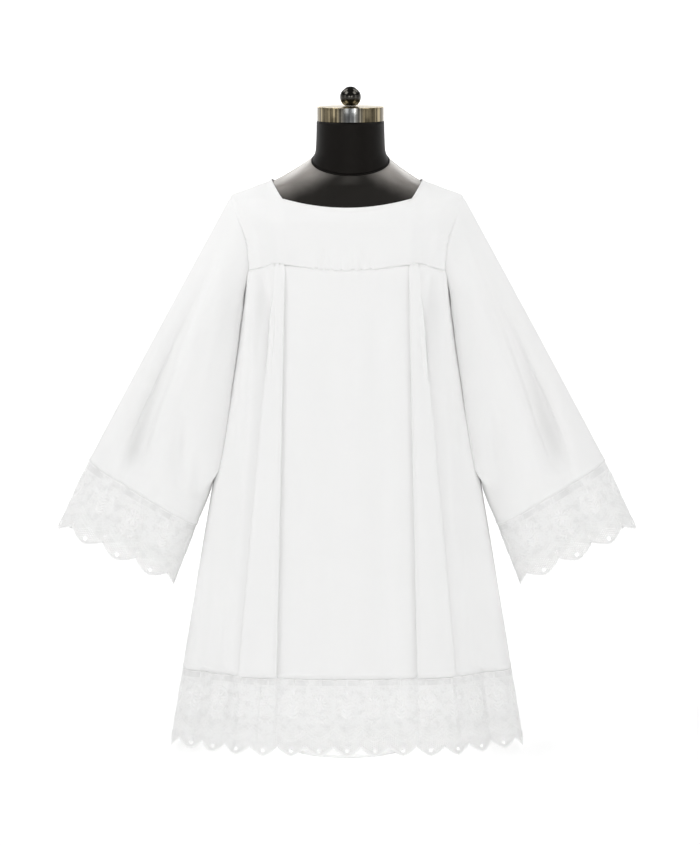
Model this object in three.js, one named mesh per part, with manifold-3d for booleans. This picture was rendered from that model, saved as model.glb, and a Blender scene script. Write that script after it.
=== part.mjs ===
// A white surplice with a yoke, box pleats, bell sleeves and scalloped lace, on a limbless dress form.
// Millimetres. X runs across the shoulders, the front faces -Y and Z is up. The base stands on Z = 0.
import * as THREE from "three";
import { mergeVertices } from "three/addons/utils/BufferGeometryUtils.js";
import Module from "manifold-3d";

const wasm = await Module();
wasm.setup();

// Cloth and lace
const CLOTH = 1.2;
const LACE = 1.0;
const SEAM_GAP = 0.4;
const ARMHOLE_GAP = 0.8;
const BODY_ROUNDNESS = 3;
const WELD = 1e-4;

// Sections of the worn body, from the underarm up: half width, and half depth in front and behind.
const BODY = [
  { height: 790, width: 181, front: 127, back: 124 },
  { height: 820, width: 182, front: 125, back: 122 },
  { height: 850, width: 189, front: 122, back: 120 },
  { height: 883, width: 200, front: 119, back: 118 },
  { height: 932, width: 203, front: 111, back: 114 },
  { height: 954, width: 202, front: 99, back: 107 },
  { height: 970, width: 202, front: 86, back: 100 },
  { height: 1001, width: 129.5, front: 67, back: 84 },
];

// Sections of the bare torso below the underarm.
const TORSO = [
  { height: 262, width: 140, front: 96, back: 96 },
  { height: 300, width: 155, front: 106, back: 106 },
  { height: 380, width: 172, front: 118, back: 118 },
  { height: 470, width: 158, front: 108, back: 112 },
  { height: 560, width: 142, front: 98, back: 104 },
  { height: 650, width: 147, front: 105, back: 108 },
  { height: 730, width: 160, front: 115, back: 112 },
  { height: 800, width: 172, front: 117, back: 114 },
];
const TORSO_INSET = 4;
const TORSO_DROP = 4;

// Armhole: an oval in side view, with 0 degrees at the shoulder tip and 180 at the underarm.
const ARMHOLE = { middle: 880, halfHeight: 90, halfDepth: 86, yokeCorner: 109 };

// Yoke seam, and the square neckline in front and behind.
const YOKE_SEAM = [
  { across: 0, height: 853 },
  { across: 40, height: 854.5 },
  { across: 80, height: 859.5 },
  { across: 115, height: 863 },
  { across: 169, height: 850 },
];
const NECK = { shoulderX: 129.5, shoulderZ: 1001 };
const NECKLINE = {
  front: { cornerX: 111.6, cornerZ: 973, middleZ: 958 },
  back: { cornerX: 112, cornerZ: 987, middleZ: 981 },
};

// Skirt: its side line, its depth and the heights of the lace seam and of the scallop tips.
const SKIRT = { floorHalfWidth: 313, sideSlope: 0.168, laceSeam: 145, tips: 9 };
const SKIRT_DEPTH = { front: 133, back: 130 };

// Ways round the skirt, from the middle of the panel to the underarm: where a line starts on the seam, measured
// along it, and the angle that it reaches at the lace seam. The two middle rows are the edges of a box pleat.
const ARMHOLE_RUN = 105;
const HANG = [
  { across: 0, angle: 0 },
  { across: 105.4, angle: 24.5 },
  { across: 123.5, angle: 39.5 },
  { across: 169, angle: 50 },
  { across: 169 + ARMHOLE_RUN, angle: 90 },
];
// Soft folds of the skirt. A flute grows toward the hem, a hollow lies just below the yoke.
const FLUTE_GROWTH = 1.5;
const FLUTES = [
  { angle: 32, width: 11, swell: 6 },
  { angle: 60, width: 7, swell: -6 },
  { angle: 74, width: 6, swell: 5 },
];
const HOLLOW = { across: 143, width: 15, down: 0.1, length: 0.13, depth: 5 };
const PLEAT = {
  inner: 105.4,
  middle: 115,
  outer: 123.5,
  turnUnder: 7,
  turnUnderAtHem: 13,
  layer: 1.9,
  layerAtHem: 3.6,
};

// Sleeve edges in front view, with the half depth of the sleeve, from the armhole to the end of the lace.
const SLEEVE = [
  { along: 0, outerX: 202, outerZ: 970, innerX: 181, innerZ: 790, depth: 86 },
  { along: 0.12, outerX: 231, outerZ: 918, innerX: 191.5, innerZ: 743, depth: 84 },
  { along: 0.83, outerX: 408.5, outerZ: 590, innerX: 237, innerZ: 465, depth: 63 },
  { along: 1, outerX: 450.8, outerZ: 510.6, innerX: 263, innerZ: 398, depth: 57 },
  { along: 2, outerX: 507, outerZ: 392.5, innerX: 303, innerZ: 294, depth: 60 },
];
const ARMHOLE_EASE = 0.16;
// Long folds of a sleeve: where they lie between its outer and inner edge, how wide and how deep they get.
const SLEEVE_FOLD_GROWTH = 1.3;
const SLEEVE_FOLDS = [
  { side: "front", start: 0.15, end: 0.31, width: 0.055, depth: 17, from: 0 },
  { side: "front", start: 0.6, end: 0.62, width: 0.06, depth: 6, from: 0.55 },
  { side: "back", start: 0.2, end: 0.36, width: 0.06, depth: 14, from: 0 },
  { side: "back", start: 0.66, end: 0.7, width: 0.06, depth: 6, from: 0.4 },
];

// Lace: its scallops, their eyelets, where the first one starts on a cuff and how long the cuff's lace is.
const SCALLOP = { depth: 16, hemCount: 15, cuffFront: 5, cuffBack: 4, steps: 6 };
const EYELET = { radius: 3, aboveTip: 9, sides: 8, reach: 20 };
const LACE_ROWS = [0, 0.45, 1];
const CUFF_LACE = { start: -11, length: 118 };

// Dress form above and below the cloth
const NECK_SHIFT = 6;
const NECK_RING = { radiusX: 67, radiusY: 62, height: 1033, tilt: 21, step: 0.6 };
const NECK_SLOPE = { rings: [0.35, 0.7], sag: 2 };
const FORM_NECK = { waist: 60.5, waistFlat: 2, waistZ: 1052, waistTilt: 8.4, top: 58.7, topZ: 1101.6 };
const CAP = { radius: 58, bottom: 1102, bandTop: 1127, top: 1128.2, edge: 1.2, domeSteps: 3 };
const KNOB = { stem: 10.2, stemHeight: 1.2, ballFoot: 12.5, ball: 18.4, ballZ: 1143.3, ballSteps: 9 };
const POLE = { radius: 14, top: 261.6, bottom: 16.3 };
const BASE = { radius: 105, rim: 5, hub: 30, hubTop: 16 };
const TURNED_SIDES = { cap: 40, knob: 24, pole: 20, base: 40 };

const ROUND = Math.PI * 2;
const toRadians = THREE.MathUtils.degToRad;
const mix = THREE.MathUtils.lerp;
const ease = (t) => THREE.MathUtils.smoothstep(t, 0, 1);
const bump = (t) => Math.exp(-t * t);

// A column of a table at some place, straight between its rows.
function lookUp(table, key, place, column) {
  const last = table.length - 1;
  if (place <= table[0][key]) return table[0][column];
  if (place >= table[last][key]) return table[last][column];
  const i = table.findIndex((row) => row[key] >= place);
  const share = (place - table[i - 1][key]) / (table[i][key] - table[i - 1][key]);
  return mix(table[i - 1][column], table[i][column], share);
}

const evenly = (count) => Array.from({ length: count + 1 }, (_, i) => i / count);
const mirrorX = (p) => new THREE.Vector3(-p.x, p.y, p.z);
const mirrorY = (p) => new THREE.Vector3(p.x, -p.y, p.z);

// The side of the worn body at an angle from the middle of its front (or back), always given as a front.
function bodyPoint(angle, height, side, table = BODY, inset = 0) {
  const across = Math.sin(angle);
  const ahead = Math.cos(angle);
  const power = BODY_ROUNDNESS;
  const reach = (Math.abs(across) ** power + Math.abs(ahead) ** power) ** (-1 / power);
  const width = lookUp(table, "height", height, "width") - inset;
  const depth = lookUp(table, "height", height, side) - inset;
  return new THREE.Vector3(width * reach * across, -depth * reach * ahead, height);
}

// The angle where the body has a given X at some height.
function bodyAngle(x, height) {
  const across = Math.min(1, x / lookUp(BODY, "height", height, "width"));
  const ahead = (1 - across ** BODY_ROUNDNESS) ** (1 / BODY_ROUNDNESS);
  return Math.atan2(across, ahead);
}

// A point of the right armhole, as a front.
function armholePoint(turn, side) {
  const height = ARMHOLE.middle + ARMHOLE.halfHeight * Math.cos(turn);
  const y = ARMHOLE.halfDepth * Math.abs(Math.sin(turn));
  const width = lookUp(BODY, "height", height, "width");
  const depth = lookUp(BODY, "height", height, side);
  const x = width * (1 - (y / depth) ** BODY_ROUNDNESS) ** (1 / BODY_ROUNDNESS);
  return new THREE.Vector3(x, -y, height);
}

// Which way the cloth's outer face lies at the armhole. Body and sleeve lean apart below the arm.
const armholeOut = (turn, lean) =>
  new THREE.Vector3(lean, -Math.sin(turn), Math.cos(turn)).normalize();

const CORNER_TURN = toRadians(ARMHOLE.yokeCorner);
const BODY_LEAN = 0.5;

// A closed mesh from vertices and triangles, facing out.
function closedGeometry(points, triangles) {
  let volume = 0;
  for (const [a, b, c] of triangles) {
    volume += points[a].dot(new THREE.Vector3().crossVectors(points[b], points[c]));
  }
  const index = triangles.flatMap(([a, b, c]) => (volume > 0 ? [a, b, c] : [a, c, b]));
  const geometry = new THREE.BufferGeometry().setFromPoints(points);
  geometry.setIndex(index);
  geometry.computeVertexNormals();
  return geometry;
}

// Two triangles from four corners, parted along the shorter diagonal.
function splitQuad(points, [a, b, c, d]) {
  const oneWay = points[a].distanceTo(points[c]) <= points[b].distanceTo(points[d]);
  return oneWay ? [[a, b, c], [a, c, d]] : [[a, b, d], [b, c, d]];
}

// The outward direction at each point of a grid whose rows run down and whose columns run across.
function gridNormals(grid, loop) {
  const rows = grid.length;
  const columns = grid[0].length;
  const column = (j) => (loop ? (j + columns) % columns : Math.min(columns - 1, Math.max(0, j)));
  return grid.map((row, i) =>
    row.map((_, j) => {
      const across = row[column(j + 1)].clone().sub(row[column(j - 1)]);
      const down = grid[Math.min(rows - 1, i + 1)][j].clone().sub(grid[Math.max(0, i - 1)][j]);
      return down.cross(across).normalize();
    }),
  );
}

// A cloth wall: a grid on the middle of the cloth, thickened both ways. "out" can set the direction at a point.
function clothWall(grid, { thickness = CLOTH, loop = false, outward = 1, out = () => null } = {}) {
  const rows = grid.length;
  const columns = grid[0].length;
  const normals = gridNormals(grid, loop);
  const points = [];
  for (const half of [thickness / 2, -thickness / 2]) {
    grid.forEach((row, i) =>
      row.forEach((p, j) => {
        const direction = out(i, j) ?? normals[i][j].clone().multiplyScalar(outward);
        points.push(p.clone().addScaledVector(direction, half));
      }),
    );
  }
  const at = (layer, i, j) => layer * rows * columns + i * columns + (j % columns);
  const triangles = [];
  const quad = (...corners) => triangles.push(...splitQuad(points, corners));
  const lastColumn = loop ? columns : columns - 1;
  for (let j = 0; j < lastColumn; j += 1) {
    for (let i = 0; i < rows - 1; i += 1) {
      quad(at(0, i, j), at(0, i + 1, j), at(0, i + 1, j + 1), at(0, i, j + 1));
      quad(at(1, i, j), at(1, i, j + 1), at(1, i + 1, j + 1), at(1, i + 1, j));
    }
    quad(at(0, 0, j), at(0, 0, j + 1), at(1, 0, j + 1), at(1, 0, j));
    quad(at(0, rows - 1, j), at(1, rows - 1, j), at(1, rows - 1, j + 1), at(0, rows - 1, j + 1));
  }
  for (let i = 0; i < rows - 1 && !loop; i += 1) {
    quad(at(0, i, 0), at(1, i, 0), at(1, i + 1, 0), at(0, i + 1, 0));
    quad(at(0, i, columns - 1), at(0, i + 1, columns - 1), at(1, i + 1, columns - 1), at(1, i, columns - 1));
  }
  return closedGeometry(points, triangles);
}

// A solid through rings of points, closed at both ends.
function ringSolid(rings) {
  const count = rings[0].length;
  const points = rings.flat();
  const middle = (ring) =>
    ring.reduce((sum, p) => sum.add(p), new THREE.Vector3()).divideScalar(count);
  const bottom = points.push(middle(rings[0])) - 1;
  const top = points.push(middle(rings[rings.length - 1])) - 1;
  const at = (i, j) => i * count + (j % count);
  const triangles = [];
  for (let j = 0; j < count; j += 1) {
    for (let i = 0; i < rings.length - 1; i += 1) {
      triangles.push(...splitQuad(points, [at(i, j), at(i, j + 1), at(i + 1, j + 1), at(i + 1, j)]));
    }
    triangles.push([bottom, at(0, j + 1), at(0, j)]);
    triangles.push([top, at(rings.length - 1, j), at(rings.length - 1, j + 1)]);
  }
  return closedGeometry(points, triangles);
}

function toManifold(geometry) {
  const plain = geometry.clone().deleteAttribute("normal");
  if (plain.hasAttribute("uv")) plain.deleteAttribute("uv");
  const merged = mergeVertices(plain, WELD);
  const vertProperties = merged.getAttribute("position").array;
  const triVerts = new Uint32Array(merged.getIndex().array);
  return new wasm.Manifold(new wasm.Mesh({ numProp: 3, vertProperties, triVerts }));
}

function fromManifold(solid) {
  const mesh = solid.getMesh();
  const geometry = new THREE.BufferGeometry();
  geometry.setAttribute("position", new THREE.BufferAttribute(new Float32Array(mesh.vertProperties), 3));
  geometry.setIndex(Array.from(mesh.triVerts));
  geometry.computeVertexNormals();
  return geometry;
}

// Yoke: columns run from the middle to the armhole, rows from the yoke seam up to the neckline and shoulder.
const YOKE_COLUMNS = { neckFront: 5, neckSide: 5, shoulder: 4 };
const YOKE_ROWS = [0, 0.12, 0.24, 0.36, 0.48, 0.6, 0.71, 0.81, 0.9, 0.96, 1];
// Where each column starts on the yoke seam.
const YOKE_FOOT = [
  { column: 0, across: 0 },
  { column: 3, across: 40 },
  { column: 6, across: 80 },
  { column: 9, across: 115 },
  { column: 14, across: 169 },
];

const seamHeight = (x) => lookUp(YOKE_SEAM, "across", x, "height");

// The top of the yoke, from the middle of the neckline to the shoulder tip, as an angle and a height.
function yokeTop(column, side) {
  const { neckFront, neckSide, shoulder } = YOKE_COLUMNS;
  const line = NECKLINE[side];
  const tip = ARMHOLE.middle + ARMHOLE.halfHeight;
  if (column <= neckFront) {
    const share = column / neckFront;
    const height = mix(line.middleZ, line.cornerZ, share * share);
    return { angle: bodyAngle(share * line.cornerX, height), height };
  }
  if (column < neckFront + neckSide) {
    const share = 1 - (1 - (column - neckFront) / neckSide) ** 2;
    const height = mix(line.cornerZ, NECK.shoulderZ, share);
    return { angle: bodyAngle(mix(line.cornerX, NECK.shoulderX, share), height), height };
  }
  const share = (column - neckFront - neckSide) / shoulder;
  return { angle: Math.PI / 2, height: mix(NECK.shoulderZ, tip, share) };
}

function yokeHalf(side) {
  const columns = YOKE_COLUMNS.neckFront + YOKE_COLUMNS.neckSide + YOKE_COLUMNS.shoulder;
  const corner = armholePoint(CORNER_TURN, side);
  const foot = (column) => {
    const x = Math.min(corner.x, lookUp(YOKE_FOOT, "column", column, "across"));
    const height = seamHeight(x);
    return { angle: bodyAngle(x, height), height };
  };
  const edge = (up) => {
    const p = armholePoint(CORNER_TURN * (1 - up), side);
    return { angle: bodyAngle(p.x, p.z), height: p.z };
  };
  const start = edge(0);
  const end = edge(1);
  const inside = (column, up) => {
    const low = foot(column);
    const high = yokeTop(column, side);
    const bend = edge(up);
    const place = (key) =>
      mix(low[key], high[key], up) + (column / columns) * (bend[key] - mix(start[key], end[key], up));
    return bodyPoint(place("angle"), place("height"), side);
  };
  return YOKE_ROWS.map((up) =>
    Array.from({ length: columns + 1 }, (_, column) => {
      const p = column < columns ? inside(column, up) : armholePoint(CORNER_TURN * (1 - up), side);
      if (up === 1 && column >= columns - YOKE_COLUMNS.shoulder) p.y = -SEAM_GAP / 2;
      return p;
    }),
  );
}

function yoke(side) {
  const half = yokeHalf(side);
  const flip = side === "front" ? (p) => p : mirrorY;
  const grid = half.map((row) => [...row.slice(1).reverse().map(mirrorX), ...row].map(flip)).reverse();
  const last = grid[0].length - 1;
  const out = (i, j) => {
    if (j !== 0 && j !== last) return null;
    const turn = CORNER_TURN * (1 - YOKE_ROWS[YOKE_ROWS.length - 1 - i]);
    const right = armholeOut(turn, BODY_LEAN);
    return flip(j === 0 ? mirrorX(right) : right);
  };
  return clothWall(grid, { outward: side === "front" ? 1 : -1, out });
}

// Panels hang from the yoke seam and the lower armhole to the lace seam.
const PANEL_ROWS = [0, 0.012, 0.1, 0.3, 0.6, 1];

const skirtWidth = (height) => SKIRT.floorHalfWidth - SKIRT.sideSlope * height;

function skirtPoint(angle, height, side) {
  return new THREE.Vector3(
    skirtWidth(height) * Math.sin(angle),
    -SKIRT_DEPTH[side] * Math.cos(angle),
    height,
  );
}

// How far the skirt's flutes stand out at an angle, from nothing at the yoke to their full size at the hem.
function flute(angle, down) {
  const degrees = Math.abs(THREE.MathUtils.radToDeg(angle));
  const sum = FLUTES.reduce((total, fold) => total + fold.swell * bump((degrees - fold.angle) / fold.width), 0);
  return sum * down ** FLUTE_GROWTH;
}

function panelPoint(across, down, side) {
  const corner = armholePoint(CORNER_TURN, side);
  const hang = toRadians(lookUp(HANG, "across", across, "angle"));
  const seam = SKIRT.laceSeam + SEAM_GAP;
  let top;
  if (across <= corner.x) {
    const height = seamHeight(across);
    top = bodyPoint(bodyAngle(across, height), height, side);
    top.z -= SEAM_GAP;
  } else {
    top = armholePoint(mix(CORNER_TURN, Math.PI, (across - corner.x) / (HANG.at(-1).across - corner.x)), side);
  }
  const hollow = HOLLOW.depth * bump((across - HOLLOW.across) / HOLLOW.width);
  const relief = flute(hang, down) - hollow * bump((down - HOLLOW.down) / HOLLOW.length) * ease(down / HOLLOW.down);
  const away = new THREE.Vector3(Math.sin(hang), -Math.cos(hang), 0);
  return top.lerp(skirtPoint(hang, seam, side), down).addScaledVector(away, relief);
}

// Folds of one edge of a box pleat, walking away from the pleat's face: slide along the cloth, as a share of the
// turn-under with a round end, and the layer that it lies on.
const PLEAT_TURN = [
  { slide: 0, round: -1, layer: 2 },
  { slide: 0, round: 0, layer: 1.5 },
  { slide: 0, round: -1, layer: 1 },
  { slide: -1, round: 0, layer: 1 },
  { slide: -1, round: -1, layer: 0.5 },
  { slide: -1, round: 0, layer: 0 },
  { slide: 0, round: 1, layer: 0 },
];

// The columns of half a panel: a place along the seam, a slide and a layer.
const CENTRE_COLUMNS = [0, 20, 40, 80];
function panelColumns(cornerX) {
  const flat = (from, to, count) => evenly(count).map((t) => ({ across: mix(from, to, t), layer: 0 }));
  const turn = (across, away) => PLEAT_TURN.map((step) => ({ across, away, ...step }));
  return [
    ...CENTRE_COLUMNS.map((across) => ({ across, layer: 0 })),
    ...turn(PLEAT.inner, -1).reverse(),
    { across: PLEAT.middle, layer: 2 },
    ...turn(PLEAT.outer, 1),
    ...flat(PLEAT.outer, cornerX, 3).slice(1),
    ...flat(cornerX, HANG.at(-1).across, 6).slice(1),
  ];
}

function panelHalf(side) {
  const corner = armholePoint(CORNER_TURN, side);
  return PANEL_ROWS.map((down) => {
    const layerHeight = mix(PLEAT.layer, PLEAT.layerAtHem, down);
    const under = mix(PLEAT.turnUnder, PLEAT.turnUnderAtHem, down);
    return panelColumns(corner.x).map(({ across, away = 0, slide = 0, round = 0, layer }) => {
      const p = panelPoint(across, down, side);
      if (!away && !layer) return p;
      const step = 1;
      const along = panelPoint(across + step, down, side).sub(panelPoint(across - step, down, side)).normalize();
      const hang = panelPoint(across, 1, side).sub(panelPoint(across, 0, side)).normalize();
      const outwards = hang.cross(along).normalize();
      p.addScaledVector(along, away * (slide * under + round * layerHeight * 0.5));
      return p.addScaledVector(outwards, layer * layerHeight);
    });
  });
}

function panel(side) {
  const half = panelHalf(side);
  for (const row of half) row.at(-1).y = -SEAM_GAP / 2;
  const flip = side === "front" ? (p) => p : mirrorY;
  const grid = half.map((row) => [...row.slice(1).reverse().map(mirrorX), ...row].map(flip));
  const corner = armholePoint(CORNER_TURN, side);
  const columns = panelColumns(corner.x);
  const middle = columns.length - 1;
  const out = (i, j) => {
    const { across } = columns[Math.abs(j - middle)];
    if (i !== 0 || across < corner.x) return null;
    const turn = mix(CORNER_TURN, Math.PI, (across - corner.x) / (HANG.at(-1).across - corner.x));
    const right = armholeOut(turn, BODY_LEAN);
    return flip(j < middle ? mirrorX(right) : right);
  };
  return clothWall(grid, { outward: side === "front" ? 1 : -1, out });
}

// A point of the right sleeve or its lace. "turn" runs from the outer edge over the front to the inner edge
// and back behind; "along" is 0 at the armhole, 1 at the lace seam and 2 at the scallop tips.
function sleevePoint(turn, along) {
  const value = (column) => lookUp(SLEEVE, "along", along, column);
  const lengthwise = Math.cos(turn);
  const share = (1 - lengthwise) / 2;
  const side = Math.sin(turn) >= 0 ? "front" : "back";
  const p = new THREE.Vector3(
    mix(value("outerX"), value("innerX"), share),
    -value("depth") * Math.sin(turn),
    mix(value("outerZ"), value("innerZ"), share),
  );
  const fade = 1 - ease(along / ARMHOLE_EASE);
  if (fade > 0) {
    const ring = armholePoint(turn, side);
    const first = mix(SLEEVE[0].outerX, SLEEVE[0].innerX, share);
    p.x += (ring.x + ARMHOLE_GAP + BODY_LEAN * CLOTH * (1 - lengthwise) * 0.5 - first) * fade;
  }
  const reach = Math.min(1, along);
  for (const fold of SLEEVE_FOLDS) {
    if (fold.side !== side || reach <= fold.from) continue;
    const growth = ((reach - fold.from) / (1 - fold.from)) ** SLEEVE_FOLD_GROWTH;
    const off = (share - mix(fold.start, fold.end, reach)) / fold.width;
    p.y += Math.sign(Math.sin(turn)) * fold.depth * growth * bump(off) * Math.abs(Math.sin(turn));
  }
  return p;
}

const SLEEVE_ROWS = [0, 0.02, 0.08, 0.17, 0.3, 0.45, 0.6, 0.73, 0.83, 0.92, 1];
const SLEEVE_COLUMNS = 34;

function sleeve(toSide) {
  const turns = evenly(SLEEVE_COLUMNS).slice(0, -1).map((t) => t * ROUND);
  const place = toSide < 0 ? mirrorX : (p) => p;
  const grid = SLEEVE_ROWS.map((along) => turns.map((turn) => place(sleevePoint(turn, along))));
  const out = (i, j) => {
    if (i !== 0) return null;
    const right = armholeOut(turns[j], BODY_LEAN * Math.cos(turns[j]));
    return place(right);
  };
  return clothWall(grid, { loop: true, outward: -toSide, out });
}

// Even steps along a closed or open line, as the parameters at which they fall.
function evenSteps(line, from, to, count) {
  const fine = count * 8;
  const walk = evenly(fine).map((t) => mix(from, to, t));
  const lengths = [0];
  for (let i = 1; i <= fine; i += 1) {
    lengths.push(lengths[i - 1] + line(walk[i]).distanceTo(line(walk[i - 1])));
  }
  return evenly(count).map((t) => {
    const target = t * lengths[fine];
    const i = Math.max(1, lengths.findIndex((length) => length >= target - 1e-9));
    return mix(walk[i - 1], walk[i], (target - lengths[i - 1]) / (lengths[i] - lengths[i - 1]));
  });
}

// How far up the edge lies at a place in a run of scallops: 0 at a tip, 1 in a valley.
const scallopRise = (place) => (2 * Math.abs(place - Math.round(place - 0.5) - 0.5)) ** 2;

// A lace band. "surface" takes a parameter across and a share down, where 1 is the line of the tips.
function laceBand(surface, params, height, { outward }) {
  const grid = LACE_ROWS.map((down) =>
    params.map((param, j) => {
      const rise = scallopRise(j / SCALLOP.steps) * SCALLOP.depth;
      return surface(param, down * (1 - rise / height));
    }),
  );
  let solid = toManifold(clothWall(grid, { thickness: LACE, outward }));
  const punch = new THREE.CylinderGeometry(EYELET.radius, EYELET.radius, EYELET.reach, EYELET.sides);
  const count = (params.length - 1) / SCALLOP.steps;
  for (let k = 0; k < count; k += 1) {
    const middle = params[k * SCALLOP.steps + SCALLOP.steps / 2];
    const beside = params[k * SCALLOP.steps + SCALLOP.steps / 2 + 1];
    const down = 1 - EYELET.aboveTip / height;
    const centre = surface(middle, down);
    const across = surface(beside, down).sub(centre).normalize();
    const normal = surface(middle, 1).sub(centre).cross(across).normalize();
    const turn = new THREE.Quaternion().setFromUnitVectors(new THREE.Vector3(0, 1, 0), normal);
    const matrix = new THREE.Matrix4().compose(centre, turn, new THREE.Vector3(1, 1, 1));
    solid = solid.subtract(toManifold(punch.clone().applyMatrix4(matrix)));
  }
  return fromManifold(solid);
}

// The hem lace carries on the skirt and its flutes.
function hemPoint(angle, down, side) {
  const height = mix(SKIRT.laceSeam, SKIRT.tips, down);
  const out = new THREE.Vector3(Math.sin(angle), -Math.cos(angle), 0);
  return skirtPoint(angle, height, side).addScaledVector(out, flute(angle, 1));
}

function hemLace(side) {
  const flip = side === "front" ? (p) => p : mirrorY;
  const surface = (angle, down) => flip(hemPoint(angle, down, side));
  const clear = SEAM_GAP / 2 / SKIRT_DEPTH[side];
  const from = -Math.PI / 2 + clear;
  const params = evenSteps((angle) => surface(angle, 1), from, -from, SCALLOP.hemCount * SCALLOP.steps);
  const height = SKIRT.laceSeam - SKIRT.tips;
  return laceBand(surface, params, height, { outward: side === "front" ? 1 : -1 });
}

// A cuff's lace is one round of scallops, parted in two lengths at its valleys.
function cuffLace(toSide, side) {
  const place = toSide < 0 ? mirrorX : (p) => p;
  const seam = SEAM_GAP / CUFF_LACE.length;
  const surface = (turn, down) => place(sleevePoint(turn, mix(1 + seam, 2, down)));
  const total = SCALLOP.cuffFront + SCALLOP.cuffBack;
  const start = toRadians(CUFF_LACE.start);
  const line = (turn) => surface(turn, 1);
  const steps = evenSteps(line, start, start + ROUND, total * SCALLOP.steps);
  const split = SCALLOP.cuffFront * SCALLOP.steps;
  const params = side === "front" ? steps.slice(0, split + 1) : steps.slice(split);
  const clear = SEAM_GAP / 2 / SLEEVE.at(-1).depth;
  params[0] += clear;
  params[params.length - 1] -= clear;
  return laceBand(surface, params, CUFF_LACE.length, { outward: -toSide });
}

// The bare torso: the body's own sections drawn in a little, closed below and ending in the tilted neck ring.
const FORM_COLUMNS = 32;
const formTurns = evenly(FORM_COLUMNS).slice(0, -1).map((t) => t * ROUND);

function bodyRing(height, table, inset = 0, drop = 0) {
  return formTurns.map((turn) => {
    const p = bodyPoint(turn, height, Math.cos(turn) >= 0 ? "front" : "back", table, inset);
    p.z -= drop;
    return p;
  });
}

function neckRing(radiusX, radiusY, height, tilt) {
  return formTurns.map(
    (turn) =>
      new THREE.Vector3(NECK_SHIFT + radiusX * Math.sin(turn), -radiusY * Math.cos(turn), height - tilt * Math.cos(turn)),
  );
}

function torso() {
  const lower = TORSO.map(({ height }) => bodyRing(height, TORSO));
  const levels = [855, 883, 910, 935, 954, 970, 980, 991, NECK.shoulderZ];
  const upper = levels.map((height) => bodyRing(height, BODY, TORSO_INSET, TORSO_DROP));
  const neck = neckRing(NECK_RING.radiusX, NECK_RING.radiusY, NECK_RING.height, NECK_RING.tilt);
  const shoulder = upper.at(-1);
  const toNeck = NECK_SLOPE.rings.map((t) =>
    neck.map((p, i) => {
      const q = shoulder[i].clone().lerp(p, t);
      q.z -= 4 * t * (1 - t) * NECK_SLOPE.sag;
      return q;
    }),
  );
  return ringSolid([...lower, ...upper, ...toNeck, neck]);
}

function neck() {
  const { radiusX, radiusY, height, tilt, step } = NECK_RING;
  const { waist, waistFlat, waistZ, waistTilt, top, topZ } = FORM_NECK;
  return ringSolid([
    neckRing(radiusX - step, radiusY - step, height + SEAM_GAP, tilt),
    neckRing(waist, waist - waistFlat, waistZ, waistTilt),
    neckRing(top, top, topZ, 0),
  ]);
}

// Turned pieces: a profile of radius and height, closed on the axis.
function turned(profile, sides, x = 0) {
  const geometry = new THREE.LatheGeometry(profile.map(([r, z]) => new THREE.Vector2(r, z)), sides);
  geometry.rotateX(Math.PI / 2).translate(x, 0, 0);
  return fromManifold(toManifold(geometry));
}

function cap() {
  const { radius, bottom, bandTop, top, edge, domeSteps } = CAP;
  const soften = edge * (1 - Math.SQRT1_2);
  const dome = evenly(domeSteps).map((t) => [(radius - edge) * (1 - t), mix(bandTop, top, 1 - (1 - t) ** 2)]);
  const band = [[0, bottom], [radius, bottom], [radius, bandTop - edge], [radius - soften, bandTop - soften]];
  return turned([...band, ...dome], TURNED_SIDES.cap, NECK_SHIFT);
}

function knob() {
  const { stem, stemHeight, ballFoot, ball, ballZ, ballSteps } = KNOB;
  const start = Math.asin(ballFoot / ball);
  const arc = evenly(ballSteps).map((t) => {
    const a = mix(start, Math.PI, t);
    return [ball * Math.sin(a) * (t === 1 ? 0 : 1), ballZ - ball * Math.cos(a)];
  });
  const foot = CAP.top + SEAM_GAP;
  const profile = [[0, foot], [stem, foot], [stem, foot + stemHeight], ...arc];
  return turned(profile, TURNED_SIDES.knob, NECK_SHIFT);
}

function pole() {
  const { radius, top, bottom } = POLE;
  return turned([[0, bottom], [radius, bottom], [radius, top], [0, top]], TURNED_SIDES.pole);
}

function base() {
  const { radius, rim, hub, hubTop } = BASE;
  return turned([[0, 0], [radius, 0], [radius, rim], [hub, hubTop], [0, hubTop]], TURNED_SIDES.base);
}

const white = (roughness) => new THREE.MeshStandardMaterial({ color: 0xf4f4f3, roughness, metalness: 0 });
const finishes = {
  cloth: () => white(0.8),
  lace: () => white(0.9),
  jersey: () => new THREE.MeshStandardMaterial({ color: 0x14120f, roughness: 0.6, metalness: 0 }),
  gold: () => new THREE.MeshStandardMaterial({ color: 0xc9a552, roughness: 0.15, metalness: 1 }),
  darkMetal: () => new THREE.MeshStandardMaterial({ color: 0x2a2725, roughness: 0.1, metalness: 1 }),
  paint: () => new THREE.MeshStandardMaterial({ color: 0xe9e9e7, roughness: 0.5, metalness: 0 }),
};

const surplice = new THREE.Group();

function add(name, geometry, finish) {
  const mesh = new THREE.Mesh(geometry, finishes[finish]());
  mesh.name = name;
  surplice.add(mesh);
}

add("form_torso", torso(), "jersey");
add("form_neck", neck(), "jersey");
add("form_cap", cap(), "gold");
add("form_knob", knob(), "darkMetal");
add("form_pole", pole(), "paint");
add("form_base", base(), "paint");
for (const side of ["front", "back"]) {
  add(`yoke_${side}`, yoke(side), "cloth");
  add(`${side}_panel`, panel(side), "cloth");
  add(`hem_lace_${side}`, hemLace(side), "lace");
}
for (const [name, toSide] of [["left", -1], ["right", 1]]) {
  add(`sleeve_${name}`, sleeve(toSide), "cloth");
  for (const side of ["front", "back"]) add(`cuff_lace_${name}_${side}`, cuffLace(toSide, side), "lace");
}

export default surplice;
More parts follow.
